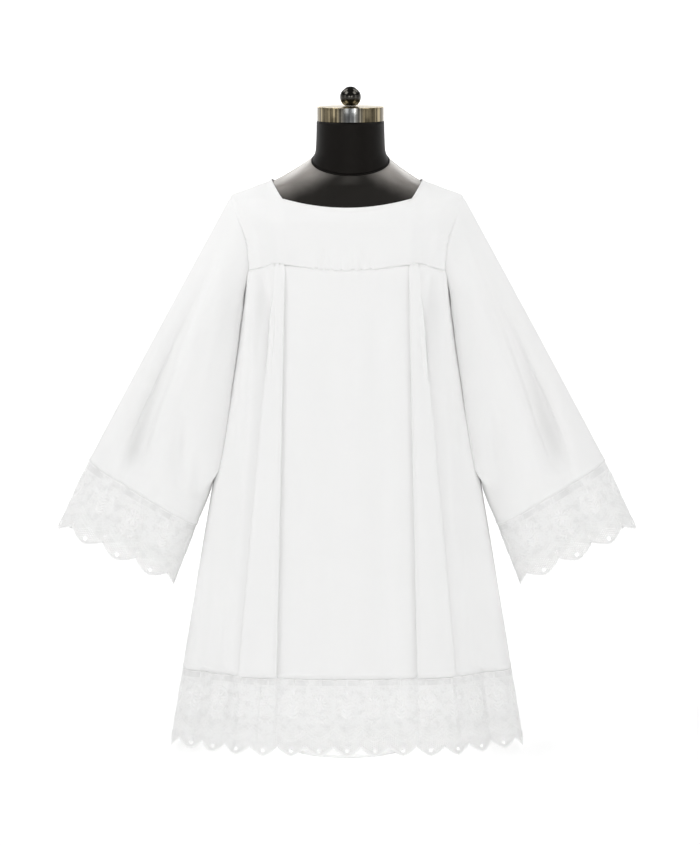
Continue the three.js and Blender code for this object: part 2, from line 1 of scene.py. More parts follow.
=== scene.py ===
"""A white surplice with scalloped lace on a limbless dress form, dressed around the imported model.

Tables are in millimetres, as in the part's source. Meshes are in metres, with X across, the front facing -Y
and Z up.
"""

import functools
import math

import bmesh
import bpy
import numpy as np
from mathutils import Matrix, Vector


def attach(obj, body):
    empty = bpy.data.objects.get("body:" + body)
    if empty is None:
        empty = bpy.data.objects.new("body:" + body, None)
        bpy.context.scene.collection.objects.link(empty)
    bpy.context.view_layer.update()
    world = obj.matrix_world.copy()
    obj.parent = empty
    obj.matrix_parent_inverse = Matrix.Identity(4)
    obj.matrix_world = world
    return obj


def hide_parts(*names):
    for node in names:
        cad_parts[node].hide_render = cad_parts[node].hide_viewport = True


bl_info = {
    "name": "Surplice with scalloped lace",
    "version": (1, 0, 0),
    "blender": (4, 5, 0),
    "location": "View3D > Sidebar > Surplice",
    "description": "Makes a white surplice and its dress form around the packed model",
    "category": "Add Mesh",
}

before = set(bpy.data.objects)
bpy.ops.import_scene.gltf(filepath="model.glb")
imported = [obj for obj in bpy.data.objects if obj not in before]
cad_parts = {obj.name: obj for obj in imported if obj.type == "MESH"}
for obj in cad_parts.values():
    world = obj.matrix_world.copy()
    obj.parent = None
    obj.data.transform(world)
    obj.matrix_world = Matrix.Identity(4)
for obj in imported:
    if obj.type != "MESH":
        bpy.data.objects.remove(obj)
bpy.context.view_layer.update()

MM = 0.001
ROUND = 2 * math.pi
WELD = 1e-6
MIRROR_X, MIRROR_Y = np.array([-1, 1, 1]), np.array([1, -1, 1])
HAND_MIRROR = {"left": MIRROR_X, "right": np.array([1, 1, 1])}

# Sections of the worn body: height, half width, half depth in front and behind.
BODY = np.array([
    (790, 181, 127, 124), (820, 182, 125, 122), (850, 189, 122, 120), (883, 200, 119, 118),
    (932, 203, 111, 114), (954, 202, 99, 107), (970, 202, 86, 100), (985.5, 165.8, 76.5, 92),
    (1001, 129.5, 67, 84),
], float)
BODY_ROUNDNESS = 3
# Sections of the bare torso below the underarm, and how far it lies inside the cloth above.
TORSO = np.array([
    (262, 140, 96, 96), (300, 155, 106, 106), (380, 172, 118, 118), (470, 158, 108, 112),
    (560, 142, 98, 104), (650, 147, 105, 108), (730, 160, 115, 112), (800, 172, 117, 114),
], float)
TORSO_LEVELS = (855, 883, 910, 935, 954, 970, 980, 991, 1001)
TORSO_INSET = 4
TORSO_DROP = 2.6
TORSO_UNDERARM, TORSO_TOP = 850, 994.5
SHOULDER_SAG = 8

ARMHOLE_MIDDLE = 880
ARMHOLE_HALF_HEIGHT = 90
ARMHOLE_HALF_DEPTH = 86
ARMHOLE_GAP = 0.8
CORNER_TURN = math.radians(109)

SEAM_GAP = 0.4
TUCK = 2.5
YOKE_SEAM = np.array([(0, 853), (40, 854.5), (80, 859.5), (115, 863), (169, 850)], float)
YOKE_FOOT = np.array([(0, 0), (3, 40), (6, 80), (9, 115), (14, 169)], float)
NECK_SHOULDER = (129.5, 1001)
NECKLINE = {"front": (111.6, 973, 958), "back": (112, 987, 981)}
NECK_CORNER, NECK_END, SHOULDER_END = 5, 10, 14
# How far the back neck edge settles, so that its underside doesn't show over the shoulder from in front.
BACK_NECK_DROP = 3.4
SETTLED_DOWN_TO = 30
YOKE_STEPS = {"front": 34, "beside": 17, "shoulder": 22, "rows": 55}

SKIRT_FLOOR_WIDTH = 313
SKIRT_SLOPE = 0.168
SKIRT_DEPTH = {"front": 133, "back": 130}
LACE_SEAM = 145
LACE_TIPS = 9
PLEAT_INNER, PLEAT_OUTER, PANEL_CORNER, PANEL_SIDE = 105.4, 123.5, 169, 274
HANG = np.array([
    (0, 0), (PLEAT_INNER, 24.5), (PLEAT_OUTER, 39.5), (PANEL_CORNER, 50), (PANEL_SIDE, 90),
], float)
FLUTES = ((32, 11, 6), (60, 7, -6), (74, 6, 5))
FLUTE_GROWTH = 1.5
HOLLOW = {"across": 143, "width": 15, "down": 0.1, "length": 0.13, "depth": 5}
PLEAT_UNDER = (7, 13)
PLEAT_LAYER = (2.0, 2.9)
PLEAT_PRESSED, PLEAT_PRESSED_TO = 0.3, 0.05
PLEAT_AT_HEM = (119.5, 183.5)
PLEAT_EDGES_AT_HEM = (3, 6)
PLEAT_ON_LACE = (3.8, 2.8)
# Soft troughs along a pleat's edges: place across, width, depth and the layer of cloth that they are in.
PLEAT_TROUGHS = (
    (PLEAT_INNER - 4, 6, -0.7, 0), (PLEAT_OUTER + 5, 8, -1.5, 0), (PLEAT_INNER, 3.2, -0.8, 2),
)
PLEAT_STEPS = {"arc": 7, "line": 4, "clear": 3}
PANEL_STEPS = {"middle": 34, "pleat": 7, "beside": 16, "armhole": 36, "rows": 86}
PANEL_ROW_POWER = 1.2

# Sleeve: place along it, outer edge X and Z, inner edge X and Z, half depth.
# Place 1 is the lace seam and place 2 the scallop tips.
SLEEVE = np.array([
    (0, 202, 970, 181, 790, 86), (0.12, 231, 918, 191.5, 743, 84), (0.83, 408.5, 590, 237, 465, 63),
    (1, 450.8, 510.6, 263, 398, 57), (2, 507, 392.5, 303, 294, 60),
], float)
ARMHOLE_EASE = 0.16
# How far a sleeve's inner edge stands out, as a share of the solids' cloth thickness, and that thickness.
BODY_LEAN = 0.5
CLOTH_CAD = 1.2
# Long folds of a sleeve: side, start, end, width, depth, from where along it.
SLEEVE_FOLDS = (
    ("front", 0.15, 0.31, 0.055, 17, 0), ("front", 0.6, 0.62, 0.06, 6, 0.55),
    ("back", 0.2, 0.36, 0.06, 14, 0), ("back", 0.66, 0.7, 0.06, 6, 0.4),
)
SLEEVE_FOLD_GROWTH = 1.3
SLEEVE_FOLD_SHARE, SLEEVE_FOLD_AT_CUFF, SLEEVE_FOLD_FADE = 0.75, 0.4, 0.8
SLEEVE_FLATNESS = (0.2, 0.42)
SLEEVE_TO_BODY = 1.6
# Where a sleeve leans on the body: above this height, and at this turn from its seam, in degrees.
SLEEVE_LEAN = {"height": 445, "height_fade": 60, "along": 0.05, "turn": 26, "turn_fade": 40, "seam": 14}
SLEEVE_STEPS = {"round": 151, "top": 14, "below": 84, "top_share": 0.1}
# Steps of the tables of the body's reach.
SIDE_HEIGHTS = np.arange(150, 801, 10)
SIDE_DISTANCES = np.arange(0, 101, 4)

# Turned edges and stitch lines: height, from and to which distance from the edge, and how softly they end.
NECK_BAND = ((0.7, -2, 9, 1.0), (-0.5, 9.2, 10.4, 0.8))
YOKE_SEAM_BAND = ((0.25, -2, 8, 1.6), (-0.25, 1.6, 2.6, 0.8))
ARMHOLE_BAND = ((0.3, 1.5, 8, 1.8),)
PANEL_HEM = ((0.5, -2, 8, 1.5), (-0.6, 8.4, 9.6, 1.0))
SLEEVE_HEM = ((0.5, -2, 8, 1.5), (-0.5, 8.4, 9.6, 1.0))
# A sleeve's seam: its ridge, the ridge's width in radians, and the tuck under the armhole's edge.
SLEEVE_SEAM = {"ridge": 0.3, "width": 0.2, "fade": 40, "tuck": 0.9, "tuck_fade": 6}
# How far below a seam the creases have grown to their full depth, and what is left of them on the lace.
CREASE_FADE = {"neck": 6, "panel": 5, "trough": 60, "sleeve": 8}
CREASE_AT_TIPS = 0.7

SCALLOP_DEPTH = 16
SCALLOP_POWER = 1.5
HEM_SCALLOPS = 15
CUFF_SCALLOPS = {"front": (0, 5), "back": (5, 9)}
CUFF_START = -11
CUFF_LENGTH = 118
HEM_LENGTH = LACE_SEAM - LACE_TIPS
EYELET_ABOVE_TIP = 9
EYELET_RADIUS = 3
# Evened places and net columns in a scallop, net rows, and the share down of a row that lies under the seam.
PLACES, NET_COLUMNS, NET_ROWS, NET_UNDER = 8, 18, 19, -0.03

NET_TUCK, NET_TUCK_FADE = 1.2, 7
# The net: its wide cells and how far above the edge they begin, and how much of its height is open.
WIDE_CELL, WIDE_ABOVE_EDGE = 1.7, 34
FINE_OPEN, WIDE_OPEN = -2.6, -2.35
# Painted shade on the net: how far down the open strip under the seam reaches, and how wide the band along
# the scallop edge is.
OPEN_STRIP = 11.8
EDGE_CORD = 7

# Embroidery of one scallop: cords and rows of rings by their distance above the edge, with width or radius.
EDGE_CORDS = ((0.8, 2.4), (3.6, 1.3))
RING_ROWS = ((29, 2.1), (35.5, 1.8))
RING_SPACE = 5.2
EDGE_LINES = (25, 32.3, 39)
PICOTS = 9
# The open strip under the seam: cords by their distance down, with width, and the bars across it.
STRIP_CORDS = ((13.0, 1.3), (15.6, 0.8), (1.6, 1.8))
STRIP_BARS = (-1.2, 1.2)
STRIP_BAR = (0.6, 1.2, 12.8, 13.6)
LEAF_HEIGHT, LEAF_TAPER = 0.9, 0.55
CORD_HEIGHT, CORD_SIDES = 0.9, 6
# Leaves set round the medallion's middle, and where the motifs lie down the lace of the hem and the cuffs.
ROSETTE = {"start": 0, "step": 36, "x": 4.2, "y": 4.8, "length": 8.2, "longer": 1.6, "width": 3.6}
RAYS = {"start": 10, "step": 20, "x": 18.4, "y": 24.2, "length": 4.0, "longer": 0, "width": 2.2}
MEDALLION_MIDDLE = {HEM_LENGTH: 43, CUFF_LENGTH: 39}
SPRAY_ENDS = {HEM_LENGTH: (74, 21), CUFF_LENGTH: (66, 20)}

NECK_SHIFT = 6
NECK_RING = {"x": 67, "y": 62, "height": 1033, "tilt": 21}
FORM_NECK = np.array([
    (1033.4, 66.4, 61.4, 21), (1052, 60.5, 58.5, 8.4), (1078, 59.2, 58.4, 2), (1101.6, 58.7, 58.7, 0),
])
PIPING = {"radius": 1.3, "raised": 0.2, "sides": 8}
FORM_STEPS = {"round": 96, "below": 50, "above": 26, "shoulder": 15, "neck_foot": 9, "neck": 14}
CAP = {"radius": 58, "bottom": 1102, "band_top": 1127, "top": 1128.2, "edge": 1.2}
KNOB = {"stem": 10.2, "stem_height": 1.2, "ball_foot": 12.5, "ball": 18.4, "ball_height": 1143.3}
POLE = {"radius": 14, "top": 261.6, "bottom": 16.3}
BASE = {"radius": 105, "rim": 5, "hub": 30, "hub_top": 16}
# Painted reflections round the cap: their brightness by the value of its streaks.
CAP_PAINTED_REFLECTIONS = ((0.3, 0.07), (0.4, 0.18), (0.45, 0.08), (0.52, 0.2), (0.56, 0.55), (0.59, 0.16), (0.68, 0.3))
# Distances between threads in metres, and how many turns a wave texture makes in a metre at a scale of 1.
KNIT_PITCH, STITCH_PITCH = 0.0009, 0.0005
WAVES = 20

# Studio, in metres. Lamps: name, place, target, size and power in watts.
FLOOR = {"flat": 8.6, "bend": 2.0, "wall": 2.0, "columns": 48, "rows": 30}
LAMPS = (
    ("above_left", (-1.7, -0.9, 3.0), (-0.15, 0, 0.8), (1.3, 1.2), 24),
    ("above_right", (1.7, -0.9, 3.0), (0.15, 0, 0.8), (1.3, 1.2), 19),
    ("soft_left", (-2.9, -1.6, 1.6), (0, 0, 0.6), (1.0, 1.8), 7),
    ("soft_right", (2.9, -1.6, 1.5), (0, 0, 0.6), (1.0, 1.8), 7),
    ("front_left", (-1.3, -5.6, 1.9), (0, 0, 0.55), (1.5, 1.5), 31),
    ("front_right", (1.3, -5.6, 1.9), (0, 0, 0.55), (1.5, 1.5), 28),
    ("under_skirt", (0, 0, 0.255), (0, 0, 0), (0.2, 0.12), 0.5),
    ("rim_left", (-1.2, 3.0, 2.35), (-0.1, 0, 1.0), (1.0, 1.2), 16),
    ("rim_right", (1.2, 3.0, 2.35), (0.1, 0, 1.0), (1.0, 1.2), 14),
    ("top_left", (-1.5, 0.7, 3.1), (-0.1, 0, 1.0), (1.0, 1.5), 18),
    ("top_right", (1.5, 0.7, 3.1), (0.1, 0, 1.0), (1.0, 1.5), 15),
)
CAMERA = {"eye": (0.0052, -7.0, 1.48), "target": (0.0052, 0, 0.5755), "lens": 172, "sensor": 36, "reach": 60}

# Creases, each given as points of X, Z and strength, then width and depth. A minus depth is a trough.
YOKE_CREASES = {
    "front": (
        (((-130, 972, 0.7), (-128, 913, 1), (-126, 866, 0.8)), 12, -3.0),
        (((134, 968, 0.7), (132, 913, 1), (130, 866, 0.8)), 12, -3.0),
        (((-106, 955, 0.3), (-104, 905, 1), (-103, 868, 0.5)), 12, 3.2),
        (((108, 955, 0.3), (107, 905, 0.9), (106, 868, 0.5)), 12, 3.0),
        (((-152, 950, 0.3), (-152, 905, 1), (-150, 868, 0.6)), 9, 2.4),
        (((156, 950, 0.3), (155, 905, 0.9), (153, 868, 0.5)), 9, 2.2),
        (((-138, 999, 1), (-147, 974, 0.9), (-146, 952, 0)), 4, -2.0),
        (((139, 999, 1), (149, 977, 0.8), (148, 955, 0)), 4, -1.7),
        (((-200, 969, 1), (-190, 953, 0)), 4.5, -2.4),
        (((196, 969, 1), (185, 941, 0)), 4.5, -2.2),
        (((-176, 903, 1), (-154, 907, 0)), 3.5, -1.6),
        (((-178, 893, 1), (-148, 893, 0)), 3.5, -1.9),
        (((-176, 883, 0.9), (-145, 878, 0)), 4, -1.6),
        (((178, 925, 0.8), (154, 917, 0)), 3.5, -1.5),
        (((180, 911, 1), (151, 902, 0)), 3.5, -2.0),
        (((178, 896, 1), (152, 886, 0)), 4, -1.7),
        (((-52, 858, 1), (-47, 884, 0)), 4, -1.9),
        (((-40, 857, 1), (-37, 893, 0)), 3.6, -2.2),
        (((-26, 856, 0.9), (-25, 897, 0)), 4, -2.0),
        (((-9, 856, 1), (-11, 889, 0)), 4, -1.3),
        (((10, 856, 0.9), (11, 893, 0)), 4, -2.1),
        (((24, 857, 1), (24, 898, 0)), 3.6, -2.3),
        (((40, 857, 1), (38, 890, 0)), 4, -1.9),
        (((-70, 940, 0), (-20, 915, 0.8), (40, 925, 0)), 26, 1.5),
        (((-60, 903, 0), (10, 880, 0.7), (70, 905, 0)), 22, -1.2),
    ),
    "back": (
        (((-130, 968, 0.5), (-128, 915, 1), (-126, 868, 0.6)), 18, -2.8),
        (((129, 966, 0.6), (131, 910, 1), (128, 866, 0.7)), 16, -3.0),
        (((-140, 998, 1), (-150, 970, 0)), 5, -1.8),
        (((141, 998, 1), (149, 965, 0)), 5, -2.0),
        (((-178, 900, 1), (-149, 896, 0)), 4, -1.8),
        (((179, 905, 1), (152, 899, 0)), 4, -1.8),
        (((178, 889, 0.9), (148, 880, 0)), 4, -1.5),
        (((-44, 857, 1), (-41, 892, 0)), 4.5, -1.6),
        (((-19, 856, 0.9), (-20, 900, 0)), 4.5, -1.5),
        (((6, 856, 1), (5, 887, 0)), 4, -1.4),
        (((29, 857, 1), (31, 896, 0)), 4.5, -1.6),
        (((-80, 948, 0), (0, 925, 0.9), (70, 945, 0)), 24, -1.4),
        (((-50, 905, 0), (20, 890, 0.8), (80, 915, 0)), 24, 1.4),
    ),
}
PANEL_CREASES = {
    "front": (
        (((-146, 840, 0.9), (-138, 800, 1), (-134, 750, 0.8), (-134, 680, 0.3), (-138, 600, 0)), 9, -5.5),
        (((146, 840, 0.9), (139, 798, 1), (135, 745, 0.8), (136, 675, 0.3), (140, 600, 0)), 9, -5.5),
        (((-164, 846, 0.5), (-160, 790, 1), (-164, 690, 0.9), (-178, 480, 0.6), (-190, 330, 0)), 9, 4.2),
        (((166, 846, 0.5), (162, 786, 1), (166, 680, 0.9), (180, 480, 0.6), (192, 330, 0)), 9, 4.0),
        (((-72, 853, 0), (-68, 700, 0.9), (-64, 420, 1), (-60, 150, 0.8)), 22, 3.2),
        (((-24, 840, 0), (-24, 740, 1), (-20, 560, 0.8), (-22, 150, 0.7)), 20, -2.8),
        (((18, 840, 0), (22, 740, 1), (24, 600, 0.7), (26, 150, 0.5)), 18, 2.6),
        (((52, 840, 0), (54, 730, 1), (56, 600, 0.4), (66, 260, 0.9), (70, 150, 0.8)), 18, -2.8),
        (((90, 850, 0), (88, 640, 0.9), (90, 400, 0.6), (92, 150, 0.8)), 16, 2.2),
        (((-44, 852, 1), (-42, 826, 0)), 4.5, -1.2),
        (((-20, 852, 1), (-21, 831, 0)), 4.5, -1.2),
        (((18, 852, 1), (19, 829, 0)), 4.5, -1.2),
        (((42, 853, 1), (41, 828, 0)), 4.5, -1.2),
        (((-190, 560, 0), (-206, 400, 0.8), (-222, 160, 1)), 12, -4.4),
        (((-232, 420, 0), (-248, 300, 0.8), (-262, 150, 1)), 10, 3.4),
        (((192, 540, 0), (208, 390, 0.8), (226, 160, 1)), 12, -4.4),
        (((236, 430, 0), (250, 290, 0.8), (266, 150, 1)), 10, 3.2),
        (((-256, 168, 0.3), (-253, 140, 1)), 7, -6.5),
        (((-207, 166, 0.3), (-208, 140, 1)), 9, -6.5),
        (((-148, 166, 0.1), (-147, 140, 1)), 5, -3.6),
        (((88, 160, 0), (86, 140, 1)), 7, -2.4),
        (((238, 166, 0.3), (240, 140, 1)), 8, -6.5),
    ),
    "back": (
        (((-160, 848, 1), (-144, 806, 1), (-131, 742, 0.4), (-127, 690, 0)), 9, -3.2),
        (((160, 848, 1), (143, 812, 1), (133, 760, 0.4), (128, 690, 0)), 9, -2.8),
        (((-70, 853, 0), (-66, 640, 0.8), (-58, 380, 1), (-54, 150, 0.8)), 24, 1.6),
        (((-14, 853, 0), (-18, 560, 0.7), (-12, 300, 1), (-16, 150, 0.8)), 24, -1.5),
        (((38, 853, 0), (40, 620, 0.7), (36, 360, 1), (42, 150, 0.8)), 24, 1.5),
        (((-194, 580, 0), (-208, 400, 0.8), (-220, 160, 1)), 12, -3.2),
        (((-230, 440, 0), (-250, 280, 0.8), (-264, 150, 1)), 10, 2.6),
        (((188, 560, 0), (205, 420, 0.8), (224, 160, 1)), 12, -3.0),
        (((238, 400, 0), (252, 280, 0.8), (268, 150, 1)), 10, 2.6),
        (((-36, 852, 1), (-35, 826, 0)), 4.5, -1.2),
        (((-8, 852, 1), (-9, 830, 0)), 4.5, -1.2),
        (((24, 852, 1), (25, 827, 0)), 4.5, -1.2),
    ),
}
SLEEVE_CREASES = {
    ("left", "front"): (
        (((-208, 958, 0.4), (-243, 860, 0.6), (-299, 733, 0.7), (-342, 629, 1), (-362, 571, 1),
          (-366, 530, 0.7), (-368, 485, 0.1)), 21, -24.0),
        (((-222, 930, 0), (-262, 850, 0.6), (-318, 733, 0.9), (-368, 620, 1), (-400, 540, 0.8)), 15, 5.5),
        (((-208, 900, 0), (-232, 800, 0.9), (-280, 680, 1), (-318, 590, 0.9), (-344, 520, 0.4)), 15, 4.0),
        (((-284, 610, 0), (-286, 550, 1), (-290, 470, 0.3)), 14, -11.5),
        (((-258, 560, 0), (-258, 500, 0.8), (-262, 460, 1)), 9, -4.5),
        (((-313, 590, 0), (-318, 530, 0.8), (-322, 480, 1)), 14, 2.6),
        (((-206, 850, 0), (-222, 770, 0.9), (-240, 660, 0.6), (-250, 560, 0)), 14, 2.2),
        (((-205, 962, 1), (-216, 925, 0.5), (-226, 900, 0)), 7, -2.2),
        (((-198, 905, 0.8), (-214, 860, 0.6), (-220, 820, 0)), 7, -1.8),
    ),
    ("right", "front"): (
        (((206, 962, 0.4), (248, 860, 0.6), (288, 749, 0.6), (328, 653, 1), (350, 573, 1),
          (360, 530, 0.7), (366, 490, 0.1)), 21, -24.0),
        (((222, 940, 0), (266, 850, 0.7), (312, 745, 0.9), (358, 640, 1), (392, 550, 0.8)), 15, 5.2),
        (((206, 900, 0), (232, 800, 0.9), (276, 680, 1), (308, 590, 0.9), (334, 520, 0.4)), 15, 3.8),
        (((250, 620, 0), (254, 560, 1), (262, 470, 0.3)), 14, -11.0),
        (((292, 590, 0), (298, 520, 0.8), (302, 476, 1)), 12, 2.2),
        (((210, 860, 0), (226, 760, 0.9), (242, 650, 0.6), (252, 560, 0)), 14, 2.0),
        (((204, 966, 1), (217, 930, 0.6), (230, 905, 0)), 7, -2.4),
        (((200, 900, 0.8), (213, 850, 0.6), (222, 815, 0)), 7, -1.6),
    ),
    ("left", "back"): (
        (((-212, 940, 0.2), (-262, 830, 0.8), (-318, 700, 1), (-362, 590, 1), (-385, 520, 0.9)), 14, -9.0),
        (((-206, 900, 0), (-240, 800, 0.8), (-290, 660, 1), (-330, 520, 0.8)), 15, 3.4),
        (((-256, 620, 0), (-262, 540, 0.8), (-268, 460, 1)), 12, -3.0),
        (((-300, 560, 0), (-308, 500, 1)), 12, -2.2),
        (((-205, 960, 1), (-220, 915, 0)), 7, -2.2),
    ),
    ("right", "back"): (
        (((214, 936, 0.3), (264, 826, 0.8), (320, 690, 1), (366, 580, 1), (388, 515, 0.9)), 14, -9.5),
        (((208, 890, 0), (244, 790, 0.8), (294, 650, 1), (334, 515, 0.8)), 15, 3.2),
        (((250, 640, 0), (258, 560, 0.8), (266, 462, 1)), 12, -3.0),
        (((204, 962, 1), (219, 918, 0)), 7, -2.2),
    ),
}


# Numbers along lines

def smooth_line(rows, at, column=1):
    """A column of a table at the places given, on a smooth line that keeps between its rows."""
    xs, ys = rows[:, 0], rows[:, column]
    step = np.diff(xs)
    slope = np.diff(ys) / step
    tangent = np.concatenate([slope[:1], np.zeros(len(xs) - 2), slope[-1:]])
    for i in range(1, len(xs) - 1):
        if slope[i - 1] * slope[i] > 0:
            before, after = 2 * step[i] + step[i - 1], step[i] + 2 * step[i - 1]
            tangent[i] = (before + after) / (before / slope[i - 1] + after / slope[i])
    at = np.clip(at, xs[0], xs[-1])
    i = np.clip(np.searchsorted(xs, at, side="right") - 1, 0, len(xs) - 2)
    t = (at - xs[i]) / step[i]
    return (
        (2 * t**3 - 3 * t**2 + 1) * ys[i]
        + (t**3 - 2 * t**2 + t) * step[i] * tangent[i]
        + (3 * t**2 - 2 * t**3) * ys[i + 1]
        + (t**3 - t**2) * step[i] * tangent[i + 1]
    )


def mix(a, b, t):
    return a + (b - a) * t


def ease(t):
    t = np.clip(t, 0, 1)
    return t * t * (3 - 2 * t)


def bump(t):
    return np.exp(-t * t)


def points(x, y, z):
    return np.stack(np.broadcast_arrays(x, y, z), axis=-1).astype(float)


def unit(vectors):
    return vectors / np.maximum(np.linalg.norm(vectors, axis=-1, keepdims=True), 1e-9)


# Shapes of the garment, each as a function of two places, with the front given first and the back mirrored

def body_size(height, side):
    return smooth_line(BODY, height), smooth_line(BODY, height, 2 if side == "front" else 3)


def body_round(angle):
    """Across and ahead on a section of the body whose half width and depth are 1."""
    across, ahead = np.sin(angle), np.cos(angle)
    reach = (np.abs(across) ** BODY_ROUNDNESS + np.abs(ahead) ** BODY_ROUNDNESS) ** (-1 / BODY_ROUNDNESS)
    return reach * across, reach * ahead


def body_point(angle, height, side):
    across, ahead = body_round(angle)
    width, depth = body_size(height, side)
    return points(width * across, -depth * ahead, height)


def body_angle(x, height):
    across = np.minimum(1, x / smooth_line(BODY, height))
    return np.arctan2(across, (1 - across**BODY_ROUNDNESS) ** (1 / BODY_ROUNDNESS))


def armhole_point(turn, side):
    height = ARMHOLE_MIDDLE + ARMHOLE_HALF_HEIGHT * np.cos(turn)
    y = ARMHOLE_HALF_DEPTH * np.abs(np.sin(turn))
    width, depth = body_size(height, side)
    x = width * (1 - (y / depth) ** BODY_ROUNDNESS) ** (1 / BODY_ROUNDNESS)
    return points(x, -y, height)


def armhole_x(turn):
    front = armhole_point(turn, "front")[..., 0]
    back = armhole_point(turn, "back")[..., 0]
    return np.where(np.sin(turn) >= 0, front, back)


def yoke_point(column, up, side):
    """Columns run from the middle to the armhole, and up from the yoke seam to the neckline and shoulder."""
    corner_x, corner_height, middle_height = NECKLINE[side]
    tip = ARMHOLE_MIDDLE + ARMHOLE_HALF_HEIGHT
    in_front = np.clip(column / NECK_CORNER, 0, 1)
    beside = 1 - (1 - np.clip((column - NECK_CORNER) / (NECK_END - NECK_CORNER), 0, 1)) ** 2
    on_shoulder = np.clip((column - NECK_END) / (SHOULDER_END - NECK_END), 0, 1)
    high = mix(middle_height, corner_height, in_front**2)
    high = np.where(column > NECK_CORNER, mix(corner_height, NECK_SHOULDER[1], beside), high)
    high = np.where(column >= NECK_END, mix(NECK_SHOULDER[1], tip, on_shoulder), high)
    high_x = np.where(column > NECK_CORNER, mix(corner_x, NECK_SHOULDER[0], beside), in_front * corner_x)
    high_angle = np.where(column >= NECK_END, math.pi / 2, body_angle(high_x, high))
    corner = armhole_point(CORNER_TURN, side)
    low_x = np.minimum(corner[0], smooth_line(YOKE_FOOT, column))
    low = smooth_line(YOKE_SEAM, low_x)
    low_angle = body_angle(low_x, low)
    edge = armhole_point(CORNER_TURN * (1 - up), side)
    edge_low, edge_high = armhole_point(CORNER_TURN, side), armhole_point(0, side)

    def place(low_value, high_value, bend, start, end):
        straight = mix(low_value, high_value, up)
        return straight + column / SHOULDER_END * (bend - mix(start, end, up))

    angle = place(low_angle, high_angle, body_angle(edge[..., 0], edge[..., 2]),
                  body_angle(edge_low[0], edge_low[2]), math.pi / 2)
    height = place(low, high, edge[..., 2], edge_low[2], edge_high[2])
    made = body_point(angle, height, side)
    made[..., 1] = np.minimum(made[..., 1], -SEAM_GAP / 2)
    return made


def skirt_point(angle, height, side):
    width = SKIRT_FLOOR_WIDTH - SKIRT_SLOPE * height
    return points(width * np.sin(angle), -SKIRT_DEPTH[side] * np.cos(angle), height)


def flute(angle, down):
    degrees = np.abs(np.degrees(angle))
    swells = sum(swell * bump((degrees - middle) / width) for middle, width, swell in FLUTES)
    return swells * down**FLUTE_GROWTH


def hang_angle(across):
    straight = np.interp(across, HANG[:, 0], HANG[:, 1])
    return np.radians(np.where(across > PLEAT_OUTER, smooth_line(HANG[2:], across), straight))


def panel_point(across, down, side):
    corner = armhole_point(CORNER_TURN, side)
    hang = hang_angle(across)
    height = smooth_line(YOKE_SEAM, across)
    top = body_point(body_angle(np.minimum(across, corner[0]), height), height, side)
    top[..., 2] -= SEAM_GAP
    turn = mix(CORNER_TURN, math.pi, np.clip((across - corner[0]) / (PANEL_SIDE - corner[0]), 0, 1))
    top = np.where((across > corner[0])[..., None], armhole_point(turn, side), top)
    hollow = HOLLOW["depth"] * bump((across - HOLLOW["across"]) / HOLLOW["width"])
    hollow = hollow * bump((down - HOLLOW["down"]) / HOLLOW["length"]) * ease(down / HOLLOW["down"])
    relief = flute(hang, down) - hollow
    away = points(np.sin(hang), -np.cos(hang), 0)
    made = mix(top, skirt_point(hang, LACE_SEAM + SEAM_GAP, side), down[..., None]) + away * relief[..., None]
    made[..., 1] = np.minimum(made[..., 1], -SEAM_GAP / 2)
    return made


def pleat_turn():
    """One edge of a box pleat, from the flat cloth to the pleat's face, as slide, round and layer."""
    arc = np.linspace(-math.pi / 2, math.pi / 2, PLEAT_STEPS["arc"])
    line = np.linspace(0, 1, PLEAT_STEPS["line"])
    under = [(-t, 1 - t, 0) for t in line]
    first = [(-1, -math.cos(a), 0.5 + 0.5 * math.sin(a)) for a in arc[1:]]
    back = [(t - 1, -t, 1) for t in line[1:]]
    second = [(0, math.cos(a) - 1, 1.5 + 0.5 * math.sin(a)) for a in arc[1:]]
    return under + first + back + second


def panel_columns():
    """Columns of half a panel: place along the seam, way a pleat's edge faces, slide, round and layer."""
    turn, clear = pleat_turn(), PLEAT_STEPS["clear"]

    def plain(start, end, steps, layer=0):
        return [(across, 0, 0, 0, layer) for across in np.linspace(start, end, PANEL_STEPS[steps])]

    rows = plain(0, PLEAT_INNER - clear, "middle")
    rows += [(PLEAT_INNER, -1, *step) for step in turn]
    rows += plain(PLEAT_INNER, PLEAT_OUTER, "pleat", layer=2)[1:-1]
    rows += [(PLEAT_OUTER, 1, *step) for step in reversed(turn)]
    rows += plain(PLEAT_OUTER + clear, PANEL_CORNER, "beside")
    rows += plain(PANEL_CORNER, PANEL_SIDE, "armhole")[1:]
    return np.array(rows, float)


def panel_surface(column_rows, down, side):
    across, away, slide, roundness, layer = (column_rows[..., k] for k in range(5))
    layer_height = mix(*PLEAT_LAYER, down) * mix(PLEAT_PRESSED, 1, ease(down / PLEAT_PRESSED_TO))
    under = mix(*PLEAT_UNDER, down)
    made = panel_point(across, down, side)
    along = unit(panel_point(across + 1, down, side) - panel_point(across - 1, down, side))
    hem, seam = (panel_point(across, np.full_like(down, place), side) for place in (1, 0))
    hang = unit(hem - seam)
    outwards = unit(np.cross(hang, along))
    slide_by = away * (slide * under + roundness * layer_height / 2)
    moved = made + along * slide_by[..., None] + outwards * (layer * layer_height)[..., None]
    on_pleat = (away != 0) | (layer > 0)
    return np.where(on_pleat[..., None], moved, made)


@functools.cache
def side_table(side):
    """How far the body reaches sideways, by height and by distance from the side seam."""
    steps = 41
    across, down = np.meshgrid(np.linspace(PANEL_CORNER, PANEL_SIDE, steps), np.linspace(0, 1, steps))
    made = panel_point(across, down, side)
    rows = []
    for height in SIDE_HEIGHTS:
        reach, away = (
            [np.interp(-height, -made[:, j, 2], sign * made[:, j, k]) for j in reversed(range(steps))]
            for k, sign in ((0, 1), (1, -1)))
        rows.append(np.interp(SIDE_DISTANCES, away, reach))
    return np.array(rows)


